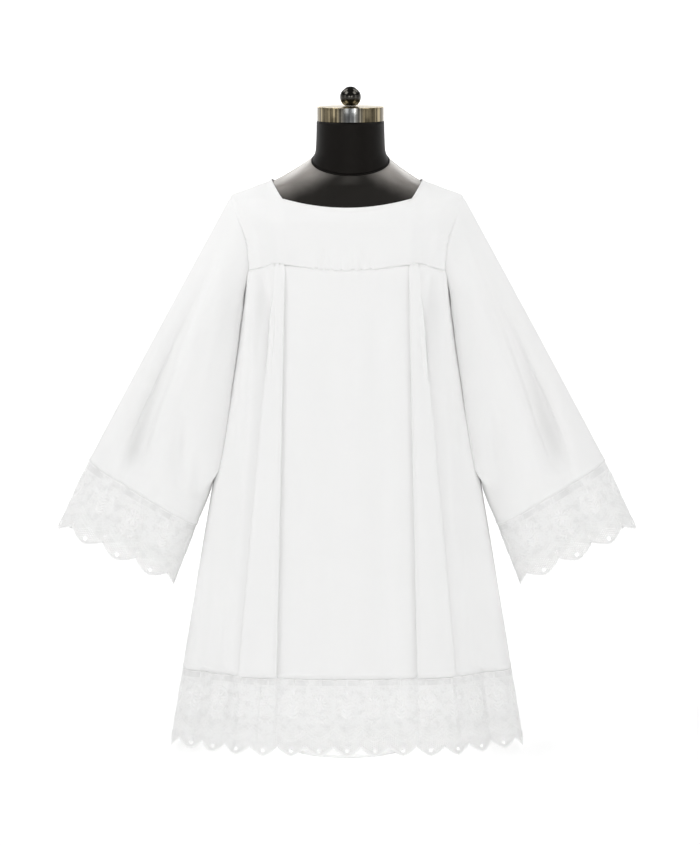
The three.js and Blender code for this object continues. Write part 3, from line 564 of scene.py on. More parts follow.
def table_place(value, steps):
    """The step of a table below each value, and how far on towards the next step the value lies."""
    place = np.clip((value - steps[0]) / (steps[1] - steps[0]), 0, len(steps) - 1.001)
    below = place.astype(int)
    return below, place - below


def side_reach(y, z):
    """How far the body reaches sideways at a depth and height, from the tables."""
    i, t = table_place(z, SIDE_HEIGHTS)
    j, s = table_place(np.abs(y), SIDE_DISTANCES)
    front, back = (
        mix(mix(table[i, j], table[i, j + 1], s), mix(table[i + 1, j], table[i + 1, j + 1], s), t)
        for table in (side_table("front"), side_table("back")))
    return np.where(y <= 0, front, back)


def sleeve_point(turn, along):
    """Turn runs from the outer edge over the front to the inner edge and back behind."""
    body_rows, lace_rows = SLEEVE[:4], SLEEVE[3:]

    def value(column):
        worn = smooth_line(body_rows, np.minimum(along, 1), column)
        return worn + (lace_rows[1, column] - lace_rows[0, column]) * np.clip(along - 1, 0, None)

    outer_x, outer_z, inner_x, inner_z, half_depth = (value(column) for column in range(1, 6))
    share = (1 - np.cos(turn)) / 2
    fade = 1 - ease(along / ARMHOLE_EASE)
    flatness = mix(*SLEEVE_FLATNESS, share) * (1 - fade)
    start_x = mix(SLEEVE[0, 1], SLEEVE[0, 3], share)
    x = mix(outer_x, inner_x, share)
    x = x + (armhole_x(turn) + ARMHOLE_GAP + BODY_LEAN * CLOTH_CAD * share - start_x) * fade
    y = -half_depth * np.sin(turn) * np.maximum(np.abs(np.sin(turn)), 1e-6) ** -flatness
    reach = np.minimum(1, along)
    at_cuff = ease((along - SLEEVE_FOLD_FADE) / (1 - SLEEVE_FOLD_FADE))
    for side, start, end, width, depth, begin in SLEEVE_FOLDS:
        on_side = (np.sin(turn) >= 0) == (side == "front")
        growth = (np.clip(reach - begin, 0, None) / (1 - begin)) ** SLEEVE_FOLD_GROWTH
        growth = growth * mix(SLEEVE_FOLD_SHARE, SLEEVE_FOLD_AT_CUFF, at_cuff)
        off = (share - mix(start, end, reach)) / width
        y = y + on_side * np.sin(turn) * depth * growth * bump(off)
    z = mix(outer_z, inner_z, share)
    from_seam = np.degrees(np.arccos(np.clip(-np.cos(turn), -1, 1)))
    beside = ease((inner_z - SLEEVE_LEAN["height"]) / SLEEVE_LEAN["height_fade"])
    beside = beside * ease(along / SLEEVE_LEAN["along"])
    beside = beside * (1 - ease((from_seam - SLEEVE_LEAN["turn"]) / SLEEVE_LEAN["turn_fade"]))
    gap = inner_x - side_reach(np.zeros_like(y), inner_z)
    close = mix(gap, np.minimum(gap, SLEEVE_TO_BODY), ease(from_seam / SLEEVE_LEAN["seam"]))
    lean = np.maximum(0, x - side_reach(y, z) - close) * beside
    z = mix(outer_z, inner_z, np.minimum(1, share + lean / (outer_x - inner_x)))
    return points(x - lean, y, z)


def hem_point(angle, down, side):
    height = mix(LACE_SEAM, LACE_TIPS, down)
    away = points(np.sin(angle), -np.cos(angle), 0)
    made = skirt_point(angle, height, side) + away * flute(angle, 1)[..., None]
    made[..., 1] = np.minimum(made[..., 1], -SEAM_GAP / 2)
    return made


def even_places(line, start, end, count):
    """Parameters at even steps along a line."""
    fine = np.linspace(start, end, count * 12 + 1)
    steps = np.linalg.norm(np.diff(line(fine), axis=0), axis=1)
    lengths = np.concatenate([[0], np.cumsum(steps)])
    return np.interp(np.linspace(0, lengths[-1], count + 1), lengths, fine)


def scallop_rise(place):
    return (2 * np.abs(place - np.round(place - 0.5) - 0.5)) ** SCALLOP_POWER * SCALLOP_DEPTH


def lace_surface(name):
    """Where a lace lies, as a function of scallops along it and millimetres down, and its sizes."""
    if name.startswith("hem"):
        side = name.rsplit("_", 1)[1]
        limit = math.pi / 2 - SEAM_GAP / 2 / SKIRT_DEPTH[side]
        count, length = HEM_SCALLOPS, HEM_LENGTH
        places = even_places(lambda a: hem_point(a, np.ones_like(a), side), -limit, limit, count * PLACES)

        def surface(scallop, down):
            angle = np.interp(scallop * PLACES, np.arange(len(places)), places)
            made = hem_point(angle, down / length, side)
            return made if side == "front" else made * MIRROR_Y
    else:
        _, _, hand, side = name.split("_")
        first, last = CUFF_SCALLOPS[side]
        count, length = last - first, CUFF_LENGTH
        start = math.radians(CUFF_START)
        places = even_places(lambda a: sleeve_point(a, np.full_like(a, 2.0)), start, start + ROUND,
                             CUFF_SCALLOPS["back"][1] * PLACES)

        def surface(scallop, down):
            turn = np.interp((scallop + first) * PLACES, np.arange(len(places)), places)
            return sleeve_point(turn, mix(1 + SEAM_GAP / length, 2, down / length)) * HAND_MIRROR[hand]
    fine = np.linspace(0, count, count * 2 * PLACES + 1)
    tips = surface(fine, np.full_like(fine, length))
    pitch = np.linalg.norm(np.diff(tips, axis=0), axis=1).sum() / count
    return surface, count, length, pitch


# Creases

def crease_relief(made, creases):
    """How far the cloth stands out at each point, from creases drawn in front view."""
    x, z = made[..., 0], made[..., 2]
    total = np.zeros_like(x)
    for path, width, depth in creases:
        nearest = np.full_like(x, np.inf)
        strength = np.zeros_like(x)
        for (x0, z0, s0), (x1, z1, s1) in zip(path, path[1:]):
            dx, dz = x1 - x0, z1 - z0
            t = np.clip(((x - x0) * dx + (z - z0) * dz) / (dx * dx + dz * dz), 0, 1)
            distance = np.hypot(x - x0 - t * dx, z - z0 - t * dz)
            closer = distance < nearest
            nearest = np.where(closer, distance, nearest)
            strength = np.where(closer, mix(s0, s1, t), strength)
        total += depth * strength * bump(nearest / width)
    return total


def surface_normals(made, wrap):
    """Unit directions off the cloth at each point, which the caller turns outwards."""
    if wrap:
        ring = made[:, :-1]
        across = np.roll(ring, -1, axis=1) - np.roll(ring, 1, axis=1)
        across = np.concatenate([across, across[:, :1]], axis=1)
    else:
        across = np.gradient(made, axis=1)
    return unit(np.cross(np.gradient(made, axis=0), across))


# Making objects

def keep(name, bm, material_name):
    """Ends a bmesh as an object at the origin that rides on the model."""
    mesh = bpy.data.meshes.new(name)
    for face in bm.faces:
        face.smooth = True
    bm.to_mesh(mesh)
    bm.free()
    piece = bpy.data.objects.new(name, mesh)
    bpy.context.scene.collection.objects.link(piece)
    mesh.materials.append(bpy.data.materials[material_name])
    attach(piece, "root")
    return piece


def mapped_grid(bm, columns, rows):
    """A grid whose vertices carry their column and row, from an operator's flat grid."""
    made = bmesh.ops.create_grid(bm, x_segments=columns, y_segments=rows, size=0.5)["verts"]
    at = np.array([vert.co for vert in made])
    column = np.rint((at[:, 0] + 0.5) * columns).astype(int)
    row = np.rint((0.5 - at[:, 1]) * rows).astype(int)
    return made, column, row


def run_lengths(made, axis):
    """How far each point lies from the first row or column, measured along the cloth."""
    steps = np.linalg.norm(np.diff(made, axis=axis), axis=2).cumsum(axis=axis)
    return np.concatenate([np.zeros_like(steps.take([0], axis)), steps], axis=axis)


def cloth_piece(name, made, material, relief, thickness, wrap=False, centre=None, uv=None):
    """A sheet of cloth from rows and columns of points, with relief along its normals and a real thickness.

    relief takes the points and the distances down and across. centre is a place inside of each point.
    """
    rows, columns = made.shape[0] - 1, made.shape[1] - 1
    down, across = run_lengths(made, 0), run_lengths(made, 1)
    across = across - across[:, columns // 2][:, None]
    inside = points(0, 0, made[..., 2]) if centre is None else centre
    normals = surface_normals(made, wrap)
    if (normals * (made - inside)).sum() < 0:
        normals = -normals
    final = made + normals * relief(made, down, across)[..., None]
    bm = bmesh.new()
    layer = bm.loops.layers.uv.new("flat")
    verts, column, row = mapped_grid(bm, columns, rows)
    flat = np.stack([across, down], axis=-1) * MM if uv is None else uv * MM
    place = {vert: (i, j) for vert, j, i in zip(verts, column, row)}
    for vert, at in place.items():
        vert.co = final[at] * MM
    for face in bm.faces:
        for loop in face.loops:
            loop[layer].uv = flat[place[loop.vert]]
    sample = place[verts[len(verts) // 3]]
    if wrap:
        bmesh.ops.remove_doubles(bm, verts=bm.verts[:], dist=WELD)
    bm.normal_update()
    sample_at = Vector(final[sample] * MM)
    nearest = min(bm.faces, key=lambda face: (face.calc_center_median() - sample_at).length_squared)
    if nearest.normal.dot(Vector(normals[sample])) < 0:
        bmesh.ops.reverse_faces(bm, faces=bm.faces[:])
    piece = keep(name, bm, material)
    wall = piece.modifiers.new("Thickness", "SOLIDIFY")
    wall.thickness = thickness
    wall.offset = 0
    wall.use_quality_normals = True
    return piece


# Materials

class Value:
    """What a material works out at each place, to be reckoned with like a number."""

    def __init__(self, shading, socket):
        self.shading = shading
        self.socket = socket

    def __add__(self, other):
        return self.shading.math("ADD", self, other)

    def __sub__(self, other):
        return self.shading.math("SUBTRACT", self, other)

    def __rsub__(self, other):
        return self.shading.math("SUBTRACT", other, self)

    def __mul__(self, other):
        return self.shading.math("MULTIPLY", self, other)

    def __truediv__(self, other):
        return self.shading.math("DIVIDE", self, other)

    def __pow__(self, other):
        return self.shading.math("POWER", self, other)

    def __abs__(self):
        return self.shading.math("ABSOLUTE", self)

    def __gt__(self, other):
        return self.shading.math("GREATER_THAN", self, other)

    def __lt__(self, other):
        return self.shading.math("LESS_THAN", self, other)

    def clamped(self):
        """This sum itself, held between 0 and 1."""
        self.socket.node.use_clamp = True
        return self


class Shading:
    """A material's nodes, made one after the other."""

    def __init__(self, name):
        self.material = bpy.data.materials.new(name)
        self.material.use_nodes = True
        self.tree = self.material.node_tree
        self.shader = self.tree.nodes["Principled BSDF"]
        self.coordinates = self.tree.nodes.new("ShaderNodeTexCoord")

    def plug(self, value, socket):
        """Links what is worked out to a socket, or sets the socket to a plain number or colour."""
        if isinstance(value, Value):
            self.tree.links.new(value.socket, socket)
        else:
            socket.default_value = value

    def node(self, kind, inputs, out=0, **choices):
        made = self.tree.nodes.new("ShaderNode" + kind)
        for key, choice in choices.items():
            setattr(made, key, choice)
        for key, value in inputs.items():
            self.plug(value, made.inputs[key])
        return Value(self, made.outputs[out])

    def where(self, kind):
        return Value(self, self.coordinates.outputs[kind])

    def parts(self, where):
        """The X, Y and Z of a place."""
        node = self.node("SeparateXYZ", {0: where}).socket.node
        return [Value(self, output) for output in node.outputs]

    def math(self, operation, *values):
        return self.node("Math", dict(enumerate(values)), operation=operation)

    def blend(self, share, low, high):
        return self.node("Mix", {0: share, 6: low, 7: high}, out=2, data_type="RGBA")

    def noise(self, where, scale, detail=2.0, stretch=(1, 1, 1)):
        placed = self.node("Mapping", {"Vector": where, "Scale": stretch})
        return self.node("TexNoise", {"Vector": placed, "Scale": scale, "Detail": detail}, out="Fac")

    def wave(self, where, pitch, direction, distortion=0.0):
        """Even lines across a direction, pitch metres apart."""
        inputs = {"Vector": where, "Scale": ROUND / (WAVES * pitch), "Distortion": distortion}
        return self.node("TexWave", inputs, out="Fac", bands_direction=direction)

    def set(self, **sockets):
        for key, value in sockets.items():
            self.plug(value, self.shader.inputs[key.replace("_", " ")])

    def bump(self, height, distance, strength, **over):
        return self.node("Bump", {"Height": height, "Distance": distance, "Strength": strength, **over})

    def relief(self, height, distance, strength, **over):
        self.set(Normal=self.bump(height, distance, strength, **over))


def spots(noise, contrast, middle):
    """Noise with more contrast, held between 0 and 1."""
    return ((noise - 0.5) * contrast + middle).clamped()


def rising(value, start, slope):
    """0 up to a start, then growing to 1."""
    return ((value - start) * slope).clamped()


def shade(colour, factor=1.0):
    return (colour[0] * factor, colour[1] * factor, colour[2] * factor, 1)


def plain_weave_material(cloth):
    """White cloth in a fine plain weave, with slightly uneven threads."""
    s = Shading("plain_weave_cotton")
    flat = s.where("UV")
    slubs = s.noise(flat, 260, 3, (1, 0.05, 1)) + s.noise(flat, 260, 3, (0.05, 1, 1))
    threads = s.wave(flat, cloth.thread_pitch, "X") * s.wave(flat, cloth.thread_pitch, "Y") + slubs * 0.6
    tone = (threads * 0.25 + s.noise(flat, 9, 3) * 0.75).clamped()
    s.set(Base_Color=s.blend(tone, shade(cloth.colour, 0.965), shade(cloth.colour)),
          Roughness=threads * 0.1 + 0.72,
          Sheen_Weight=0.12, Sheen_Roughness=0.4, Specular_IOR_Level=0.3)
    soft_waves = s.bump(s.noise(s.where("Object"), 9, 2, (1, 1, 0.4)), 0.004, 1.0)
    s.relief(threads, 0.00012, 0.5, Normal=soft_waves)


def net_height(s, flat, cell):
    """A net of small six-sided cells: high on its threads and low in its holes."""
    wave = 4 * math.pi / (math.sqrt(3) * cell)
    lines = []
    for angle in (0, ROUND / 3, 2 * ROUND / 3):
        way = (wave * math.cos(angle), wave * math.sin(angle), 0)
        along = s.node("VectorMath", {0: flat, 1: way}, out="Value", operation="DOT_PRODUCT")
        lines.append(s.math("COSINE", along))
    return (lines[0] + lines[1] + lines[2]) * -1.0


def lace_net_material(lace, name, length, pitch):
    """White net, finer above and a wide honeycomb near the scallops, with an open eyelet above each tip."""
    s = Shading(name)
    flat = s.where("UV")
    across, down, _ = s.parts(flat)
    fine, wide = net_height(s, flat, lace.net_cell), net_height(s, flat, lace.net_cell * WIDE_CELL)
    off = s.math("FRACT", across / (pitch * MM)) - 0.5
    edge = length * MM - (abs(off) * 2.0) ** SCALLOP_POWER * (SCALLOP_DEPTH * MM)
    near_edge = down > edge - WIDE_ABOVE_EDGE * MM
    above = 1.0 - near_edge
    thread = (fine > FINE_OPEN) * above + (wide > WIDE_OPEN) * near_edge
    height = fine * above + wide * near_edge

    eyelet_x = off * (pitch * MM)
    eyelet_y = down - (length - EYELET_ABOVE_TIP) * MM
    outside = (eyelet_x * eyelet_x + eyelet_y * eyelet_y) ** 0.5 > EYELET_RADIUS * MM

    # Painted shade: the net is darker in its holes and where it is not worked, where the inside shows
    # through.
    raised = rising(height, -2.0, 0.4)
    worked = spots(s.noise(flat, 75, 2), 4.0, 0.7) * 0.5 + spots(s.noise(flat, 330, 1), 5.0, 0.6) * 0.3
    # Painted shade: the open strip under the seam is darker in patches, where the inside shows through.
    open_strip = (down < OPEN_STRIP * MM) * spots(s.noise(flat, 26, 1, (1, 0.01, 1)), 6.0, 0.5)
    # Painted shade along the corded scallop edge.
    cord = (1.0 - (edge - down) / (EDGE_CORD * MM)).clamped()
    tone = ((raised * 0.35 + worked) * (1.0 - (open_strip + cord) * 0.7)).clamped()
    # Painted shade: the net is darker towards the bottom of the lace.
    low = (down * (2.4 / (length * MM)) - 1.1).clamped()
    tone = tone * (1.0 - low * 0.4)
    s.set(Base_Color=s.blend(tone, shade(lace.colour, lace.painted_net_shade), shade(lace.colour, 0.99)),
          Roughness=0.75, Sheen_Weight=0.1, Alpha=thread * outside)
    s.relief(height, 0.00025, 0.6)


def satin_stitch_material(lace):
    """White embroidery thread laid in close satin stitch."""
    s = Shading("satin_stitch_thread")
    where = s.where("Object")
    thread = s.wave(where, STITCH_PITCH, "DIAGONAL", 2.0)
    tone = (thread + s.noise(where, 300)) * 0.5
    s.set(Base_Color=s.blend(tone, shade(lace.colour, 0.95), shade(lace.colour)),
          Roughness=thread * 0.15 + 0.5, Sheen_Weight=0.15)
    s.relief(thread, 0.00015, 0.5)


def cover_material(form, name, roughness, gloss, sheen, with_painted_highlight):
    """Black knitted stretch cover with a real sheen; with the painted highlight, its colour is also lighter
    on top of the shoulders.
    """
    s = Shading(name)
    where = s.where("Object")
    ribs = s.wave(where, KNIT_PITCH, "Z", 1.0) * s.wave(where, KNIT_PITCH, "X", 1.0)
    knitted = s.blend(s.noise(where, 60, 3), shade(form.cover_colour, 0.4), shade(form.cover_colour, 0.7))
    if with_painted_highlight:
        # Painted highlight: the cover's colour is lighter on top of the shoulders, beside the neck.
        across, _, height = s.parts(where)
        slope = abs(across - NECK_SHIFT * MM) * 0.4
        painted_highlight = rising(height + slope + s.noise(where, 30, 2) * 0.012, 1.012, 22.0) ** 1.6
        beside_neck = rising(slope, 0.01, 60.0)
        knitted = s.blend(painted_highlight * beside_neck, knitted, shade(form.cover_painted_highlight))
    s.set(Base_Color=knitted, Roughness=ribs * 0.1 + roughness,
          Specular_IOR_Level=gloss, Specular_Tint=(1.0, 0.95, 0.88, 1),
          Sheen_Weight=sheen, Sheen_Roughness=0.35, Sheen_Tint=(1.0, 0.94, 0.87, 1))
    s.relief(ribs, 0.00015, 0.4)


def cap_material(form):
    """Polished metal with painted reflections round its band: gold and paler silver by turns, with bright and
    dark streaks.
    """
    s = Shading("polished_gold_cap")
    where = s.where("Object")
    lines = s.noise(where, 500, 2, (1, 1, 0.04))
    across, deep, height = s.parts(where)
    turn = s.math("ARCTAN2", across - NECK_SHIFT * MM, deep * -1.0)
    # Painted reflections: bright and dark streaks round the band.
    streaks = s.node("TexNoise", {"W": turn, "Scale": 4.6, "Detail": 3.0, "Roughness": 0.62}, out="Fac",
                     noise_dimensions="1D")
    tone = s.node("ValToRGB", {"Fac": streaks}, out="Color")
    stops = tone.socket.node.color_ramp.elements
    for k, (place, factor) in enumerate(CAP_PAINTED_REFLECTIONS):
        stop = stops[k] if k < 2 else stops.new(place)
        stop.position = place
        stop.color = (factor, factor, factor, 1)
    # Painted reflection: paler silver by turns round the cap.
    painted_silver = rising(s.math("COSINE", turn * 3.0), 0.35, 1.6)
    metal = s.blend(painted_silver, shade(form.cap_colour), shade(form.cap_painted_silver))
    painted_reflections = s.node("VectorMath", {0: metal, 1: tone}, out="Vector", operation="MULTIPLY")
    on_band = height < (CAP["band_top"] - 0.3) * MM
    s.set(Base_Color=s.blend(on_band, shade(form.cap_colour), painted_reflections), Metallic=1.0,
          Roughness=lines * 0.1 + 0.12)
    s.relief(lines, 0.00002, 0.3)


def knob_material(form):
    """Dark polished metal with faint smears."""
    s = Shading("polished_dark_knob")
    where = s.where("Object")
    smear = s.noise(where, 40, 3)
    s.set(Base_Color=s.blend(smear, shade(form.knob_colour, 0.85), shade(form.knob_colour)), Metallic=1.0,
          Roughness=smear * 0.06 + 0.06)
    s.relief(s.noise(where, 900), 0.00001, 0.2)


def stand_material(form):
    """White paint with a fine speckle."""
    s = Shading("white_stand_paint")
    where = s.where("Object")
    speckle = s.noise(where, 700, 3)
    s.set(Base_Color=s.blend(s.noise(where, 14), shade(form.stand_colour, 0.96), shade(form.stand_colour)),
          Roughness=speckle * 0.12 + 0.4, Coat_Weight=0.1)
    s.relief(speckle, 0.00004, 0.4)


# Lace embroidery, drawn flat: X across a scallop, Y down the lace, Z off the net

def satin_leaf(bm, x, y, length, width, turn):
    """A satin-stitched leaf from a ball: its round end at x, y and its point away from it."""
    verts = bmesh.ops.create_uvsphere(bm, u_segments=8, v_segments=6, radius=1)["verts"]
    for vert in verts:
        half = width / 2 * (1 - LEAF_TAPER * vert.co.z)
        vert.co = Vector((vert.co.x * half, (vert.co.z + 1) * length / 2, vert.co.y * LEAF_HEIGHT / 2))
    bmesh.ops.rotate(bm, verts=verts, cent=(0, 0, 0), matrix=Matrix.Rotation(math.radians(turn), 3, "Z"))
    bmesh.ops.translate(bm, verts=verts, vec=(x, y, 0))


def leaf_wreath(bm, middle, leaves):
    """Leaves set round a middle, each with its point away from it."""
    for turn in range(leaves["start"], 360, leaves["step"]):
        across, down = -math.sin(math.radians(turn)), math.cos(math.radians(turn))
        length = leaves["length"] + leaves["longer"] * abs(down)
        satin_leaf(bm, leaves["x"] * across, middle + leaves["y"] * down, length, leaves["width"], turn)


def thread_ring(bm, x, y, radius, thread, steps=10, section=4, stretch=1.0, height=None):
    """A ring of thread, spun from a small section."""
    made = bmesh.ops.create_circle(bm, segments=section, radius=thread / 2)["verts"]
    tall = (height or thread) / thread
    for vert in made:
        vert.co = Vector((radius + vert.co.x, 0, vert.co.y * tall))
    edges = list({edge for vert in made for edge in vert.link_edges})
    before = set(bm.verts)
    bmesh.ops.spin(bm, geom=made + edges, cent=(0, 0, 0), axis=(0, 0, 1), angle=ROUND, steps=steps,
                   use_merge=True)
    ring = made + [vert for vert in bm.verts if vert not in before]
    for vert in ring:
        vert.co.y *= stretch
    bmesh.ops.translate(bm, verts=ring, vec=(x, y, 0))


def thread_cord(bm, path, width, height=CORD_HEIGHT):
    """A cord laid along a path, drawn to a point at both ends."""
    path = np.array(path, float)
    last = len(path) - 1
    verts, column, row = mapped_grid(bm, last, CORD_SIDES)
    way = unit(np.gradient(path, axis=0))
    aside = np.stack([-way[:, 1], way[:, 0]], axis=-1)
    for vert, j, i in zip(verts, column, row):
        angle = ROUND * i / CORD_SIDES
        thick = 0 if j in (0, last) else 1
        x, y = path[j] + aside[j] * math.cos(angle) * width / 2 * thick
        vert.co = Vector((x, y, math.sin(angle) * height / 2 * thick))
    bmesh.ops.remove_doubles(bm, verts=verts, dist=1e-4)


def scroll(x, y, radius, turns, start, hand):
    """A path that winds inwards to x, y."""
    t = np.linspace(0, 1, 16)
    angle = math.radians(start) + hand * ROUND * turns * t
    reach = radius * (1 - 0.85 * t)
    return np.stack([x + reach * np.cos(angle), y + reach * np.sin(angle)], axis=-1)


def spaced(count, pitch):
    """Even places across a scallop."""
    return (np.arange(count) + 0.5) / count * pitch - pitch / 2


def draw_edge(bm, pitch, length):
    """What every scallop has: corded edge, picots, eyelet, arcs of rings and the bars of the open strip."""
    across = np.linspace(-pitch / 2 - 0.5, pitch / 2 + 0.5, 25)

    def edge(x, inset=0):
        return length - (2 * abs(x) / pitch) ** SCALLOP_POWER * SCALLOP_DEPTH - inset

    for inset, width in EDGE_CORDS:
        thread_cord(bm, [(x, edge(x, inset)) for x in across], width, 1.2)
    for x in spaced(PICOTS, pitch):
        thread_ring(bm, x, edge(x) + 1.0, 1.3, 0.8, 8)
    thread_ring(bm, 0, length - EYELET_ABOVE_TIP, EYELET_RADIUS + 1.0, 1.7, 18, 6, height=1.2)
    for inset, radius in RING_ROWS:
        for x in spaced(int(pitch // RING_SPACE), pitch):
            thread_ring(bm, x, edge(x, inset), radius, 0.8)
    for inset in EDGE_LINES:
        thread_cord(bm, [(x, edge(x, inset)) for x in across], 1.0)
    for y, width in STRIP_CORDS:
        thread_cord(bm, [(x, y) for x in across[::3]], width)
    for x in STRIP_BARS:
        thread_cord(bm, [(x, y) for y in STRIP_BAR], 1.7, 1.4)


def draw_medallion(bm, pitch, length):
    """An oval medallion with a rosette in it and small sprays below. It is as wide on every scallop."""
    middle = MEDALLION_MIDDLE[length]
    for radius, thread in ((16.5, 1.6), (14.2, 0.8)):
        thread_ring(bm, 0, middle, radius, thread, 36, 6, stretch=1.32)
    leaf_wreath(bm, middle, ROSETTE)
    thread_ring(bm, 0, middle, 2.7, 1.1, 12, 6)
    leaf_wreath(bm, middle, RAYS)
    for hand in (-1, 1):
        for k, turn in enumerate((28, 62, 100)):
            satin_leaf(bm, hand * (3.5 + 2.5 * k), middle + 30.5 - 0.6 * k, 8.5 - k, 3.2, -hand * turn)


def draw_spray(bm, pitch, length):
    """A stem with paired leaves between two pairs of scrolls."""
    foot, head = SPRAY_ENDS[length]
    pairs = 6
    thread_cord(bm, [(0, y) for y in np.linspace(head + 6, foot, 9)], 1.1)
    satin_leaf(bm, 0, head + 9, 11, 4.2, 180)
    for k in range(pairs):
        y = foot - 4 - k * (foot - head - 14) / pairs
        size = 1 - 0.07 * k
        for hand in (-1, 1):
            satin_leaf(bm, hand * 0.8, y, 12 * size, 4.0 * size, 180 + hand * 52)
    out = min(pitch / 2 - 9, 17)
    for hand in (-1, 1):
        for y, radius, turns, way, bead in ((foot - 17, 7.5, 1.35, 1, 1.5), (head + 15, 6.0, 1.25, -1, 1.4)):
            thread_cord(bm, scroll(hand * out, y, radius, turns, way * 90, way * hand), 1.2)
            thread_ring(bm, hand * out, y, bead, 0.9, 8)
        for turn in (-45, 0, 45):
            satin_leaf(bm, hand * (out - 1.5), foot - 33, 7.5, 2.9, 180 - hand * turn)


MOTIFS = (draw_medallion, draw_spray)


def flat_repeat(draw_motif, pitch, length):
    """One scallop's embroidery, drawn flat and closed."""
    bm = bmesh.new()
    draw_edge(bm, pitch, length)
    draw_motif(bm, pitch, length)
    bmesh.ops.recalc_face_normals(bm, faces=bm.faces[:])
    mesh = bpy.data.meshes.new("flat_scallop")
    bm.to_mesh(mesh)
    bm.free()
    return mesh


# Garment, dress form and stand

def settings():
    return bpy.context.scene.surplice


def material_named(name):
    """Makes the materials of cloth, thread and form when the first of them is asked for."""
    if name not in bpy.data.materials:
        chosen = settings()
        plain_weave_material(chosen.cloth)
        satin_stitch_material(chosen.lace)
        cover_material(chosen.form, "black_neck_cover", 0.42, 0.1, 0.0, with_painted_highlight=False)
        cover_material(chosen.form, "black_shoulder_cover", 0.32, 0.4, 0.25, with_painted_highlight=True)
        cap_material(chosen.form)
        knob_material(chosen.form)
        stand_material(chosen.form)
    return name


def edge_relief(distance, bands):
    """How far turned edges and stitch lines stand out at each distance from an edge."""
    return sum(
        height * ease((distance - start) / soft + 0.5) * (1 - ease((distance - end) / soft + 0.5))
        for height, start, end, soft in bands)


def whole_width(half):
    """Rows of points from side to side, from the half whose first column is the middle."""
    return np.concatenate([half[:, :0:-1] * MIRROR_X, half], axis=1)


def make_yoke(side):
    """A yoke with its turned neck edge, stitch lines and gathers."""
    chosen = settings().cloth
    half = np.concatenate([
        np.linspace(0, NECK_CORNER, YOKE_STEPS["front"]),
        np.linspace(NECK_CORNER, NECK_END, YOKE_STEPS["beside"])[1:],
        np.linspace(NECK_END, SHOULDER_END, YOKE_STEPS["shoulder"])[1:],
    ])
    column, row = np.meshgrid(half, np.linspace(1, 0, YOKE_STEPS["rows"]))
    made = whole_width(yoke_point(column, row, side))
    columns = np.concatenate([half[:0:-1], half])
    if side == "back":
        made = made * MIRROR_Y

    def relief(at, down, across):
        from_armhole = np.minimum(np.abs(across - across[:, :1]), np.abs(across - across[:, -1:]))
        edges = edge_relief(down, NECK_BAND) * (columns <= NECK_END)[None, :]
        edges = edges + edge_relief(down[-1] - down, YOKE_SEAM_BAND) + edge_relief(from_armhole, ARMHOLE_BAND)
        below_neck = mix(0.35, 1, ease(down / CREASE_FADE["neck"]))
        creases = crease_relief(at, YOKE_CREASES[side]) * chosen.crease_depth * below_neck
        if side == "front":
            return edges + creases
        slant = np.clip((np.abs(columns) - NECK_CORNER) / (NECK_END - NECK_CORNER), 0, 1)[None, :]
        settled = BACK_NECK_DROP * (1 - (2 * slant - 1) ** 4) * (1 - ease(down / SETTLED_DOWN_TO))
        return edges + creases - settled

    name = "yoke_" + side
    piece = cloth_piece("cloth_" + name, made, material_named("plain_weave_cotton"), relief, chosen.thickness)
    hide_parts(name)


def make_panel(side):
    """A body panel, folded into its two box pleats, with hem and creases."""
    chosen = settings().cloth
    half = panel_columns()
    down = np.linspace(0, 1, PANEL_STEPS["rows"]) ** PANEL_ROW_POWER
    grid = np.broadcast_to(half[None], (len(down), *half.shape))
    made = panel_surface(grid, np.broadcast_to(down[:, None], grid.shape[:2]), side)
    made[0] += unit(made[0] - made[1]) * TUCK
    made = whole_width(made)
    columns, layer = (np.concatenate([half[:0:-1, k], half[:, k]])[None, :] for k in (0, 4))
    if side == "back":
        made = made * MIRROR_Y

    def relief(at, down_by, across):
        below_seam = ease(down_by / CREASE_FADE["panel"])
        hem = edge_relief(down_by[-1] - down_by, PANEL_HEM) * (layer == 0)
        troughs = sum(
            depth * bump((columns - place) / width) * (layer == on)
            for place, width, depth, on in PLEAT_TROUGHS)
        creases = crease_relief(at, PANEL_CREASES[side]) + troughs * ease(down_by / CREASE_FADE["trough"])
        return hem - (1 - below_seam) + creases * chosen.crease_depth * below_seam

    name = side + "_panel"
    piece = cloth_piece("cloth_" + name, made, material_named("plain_weave_cotton"), relief, chosen.thickness)
    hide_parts(name)


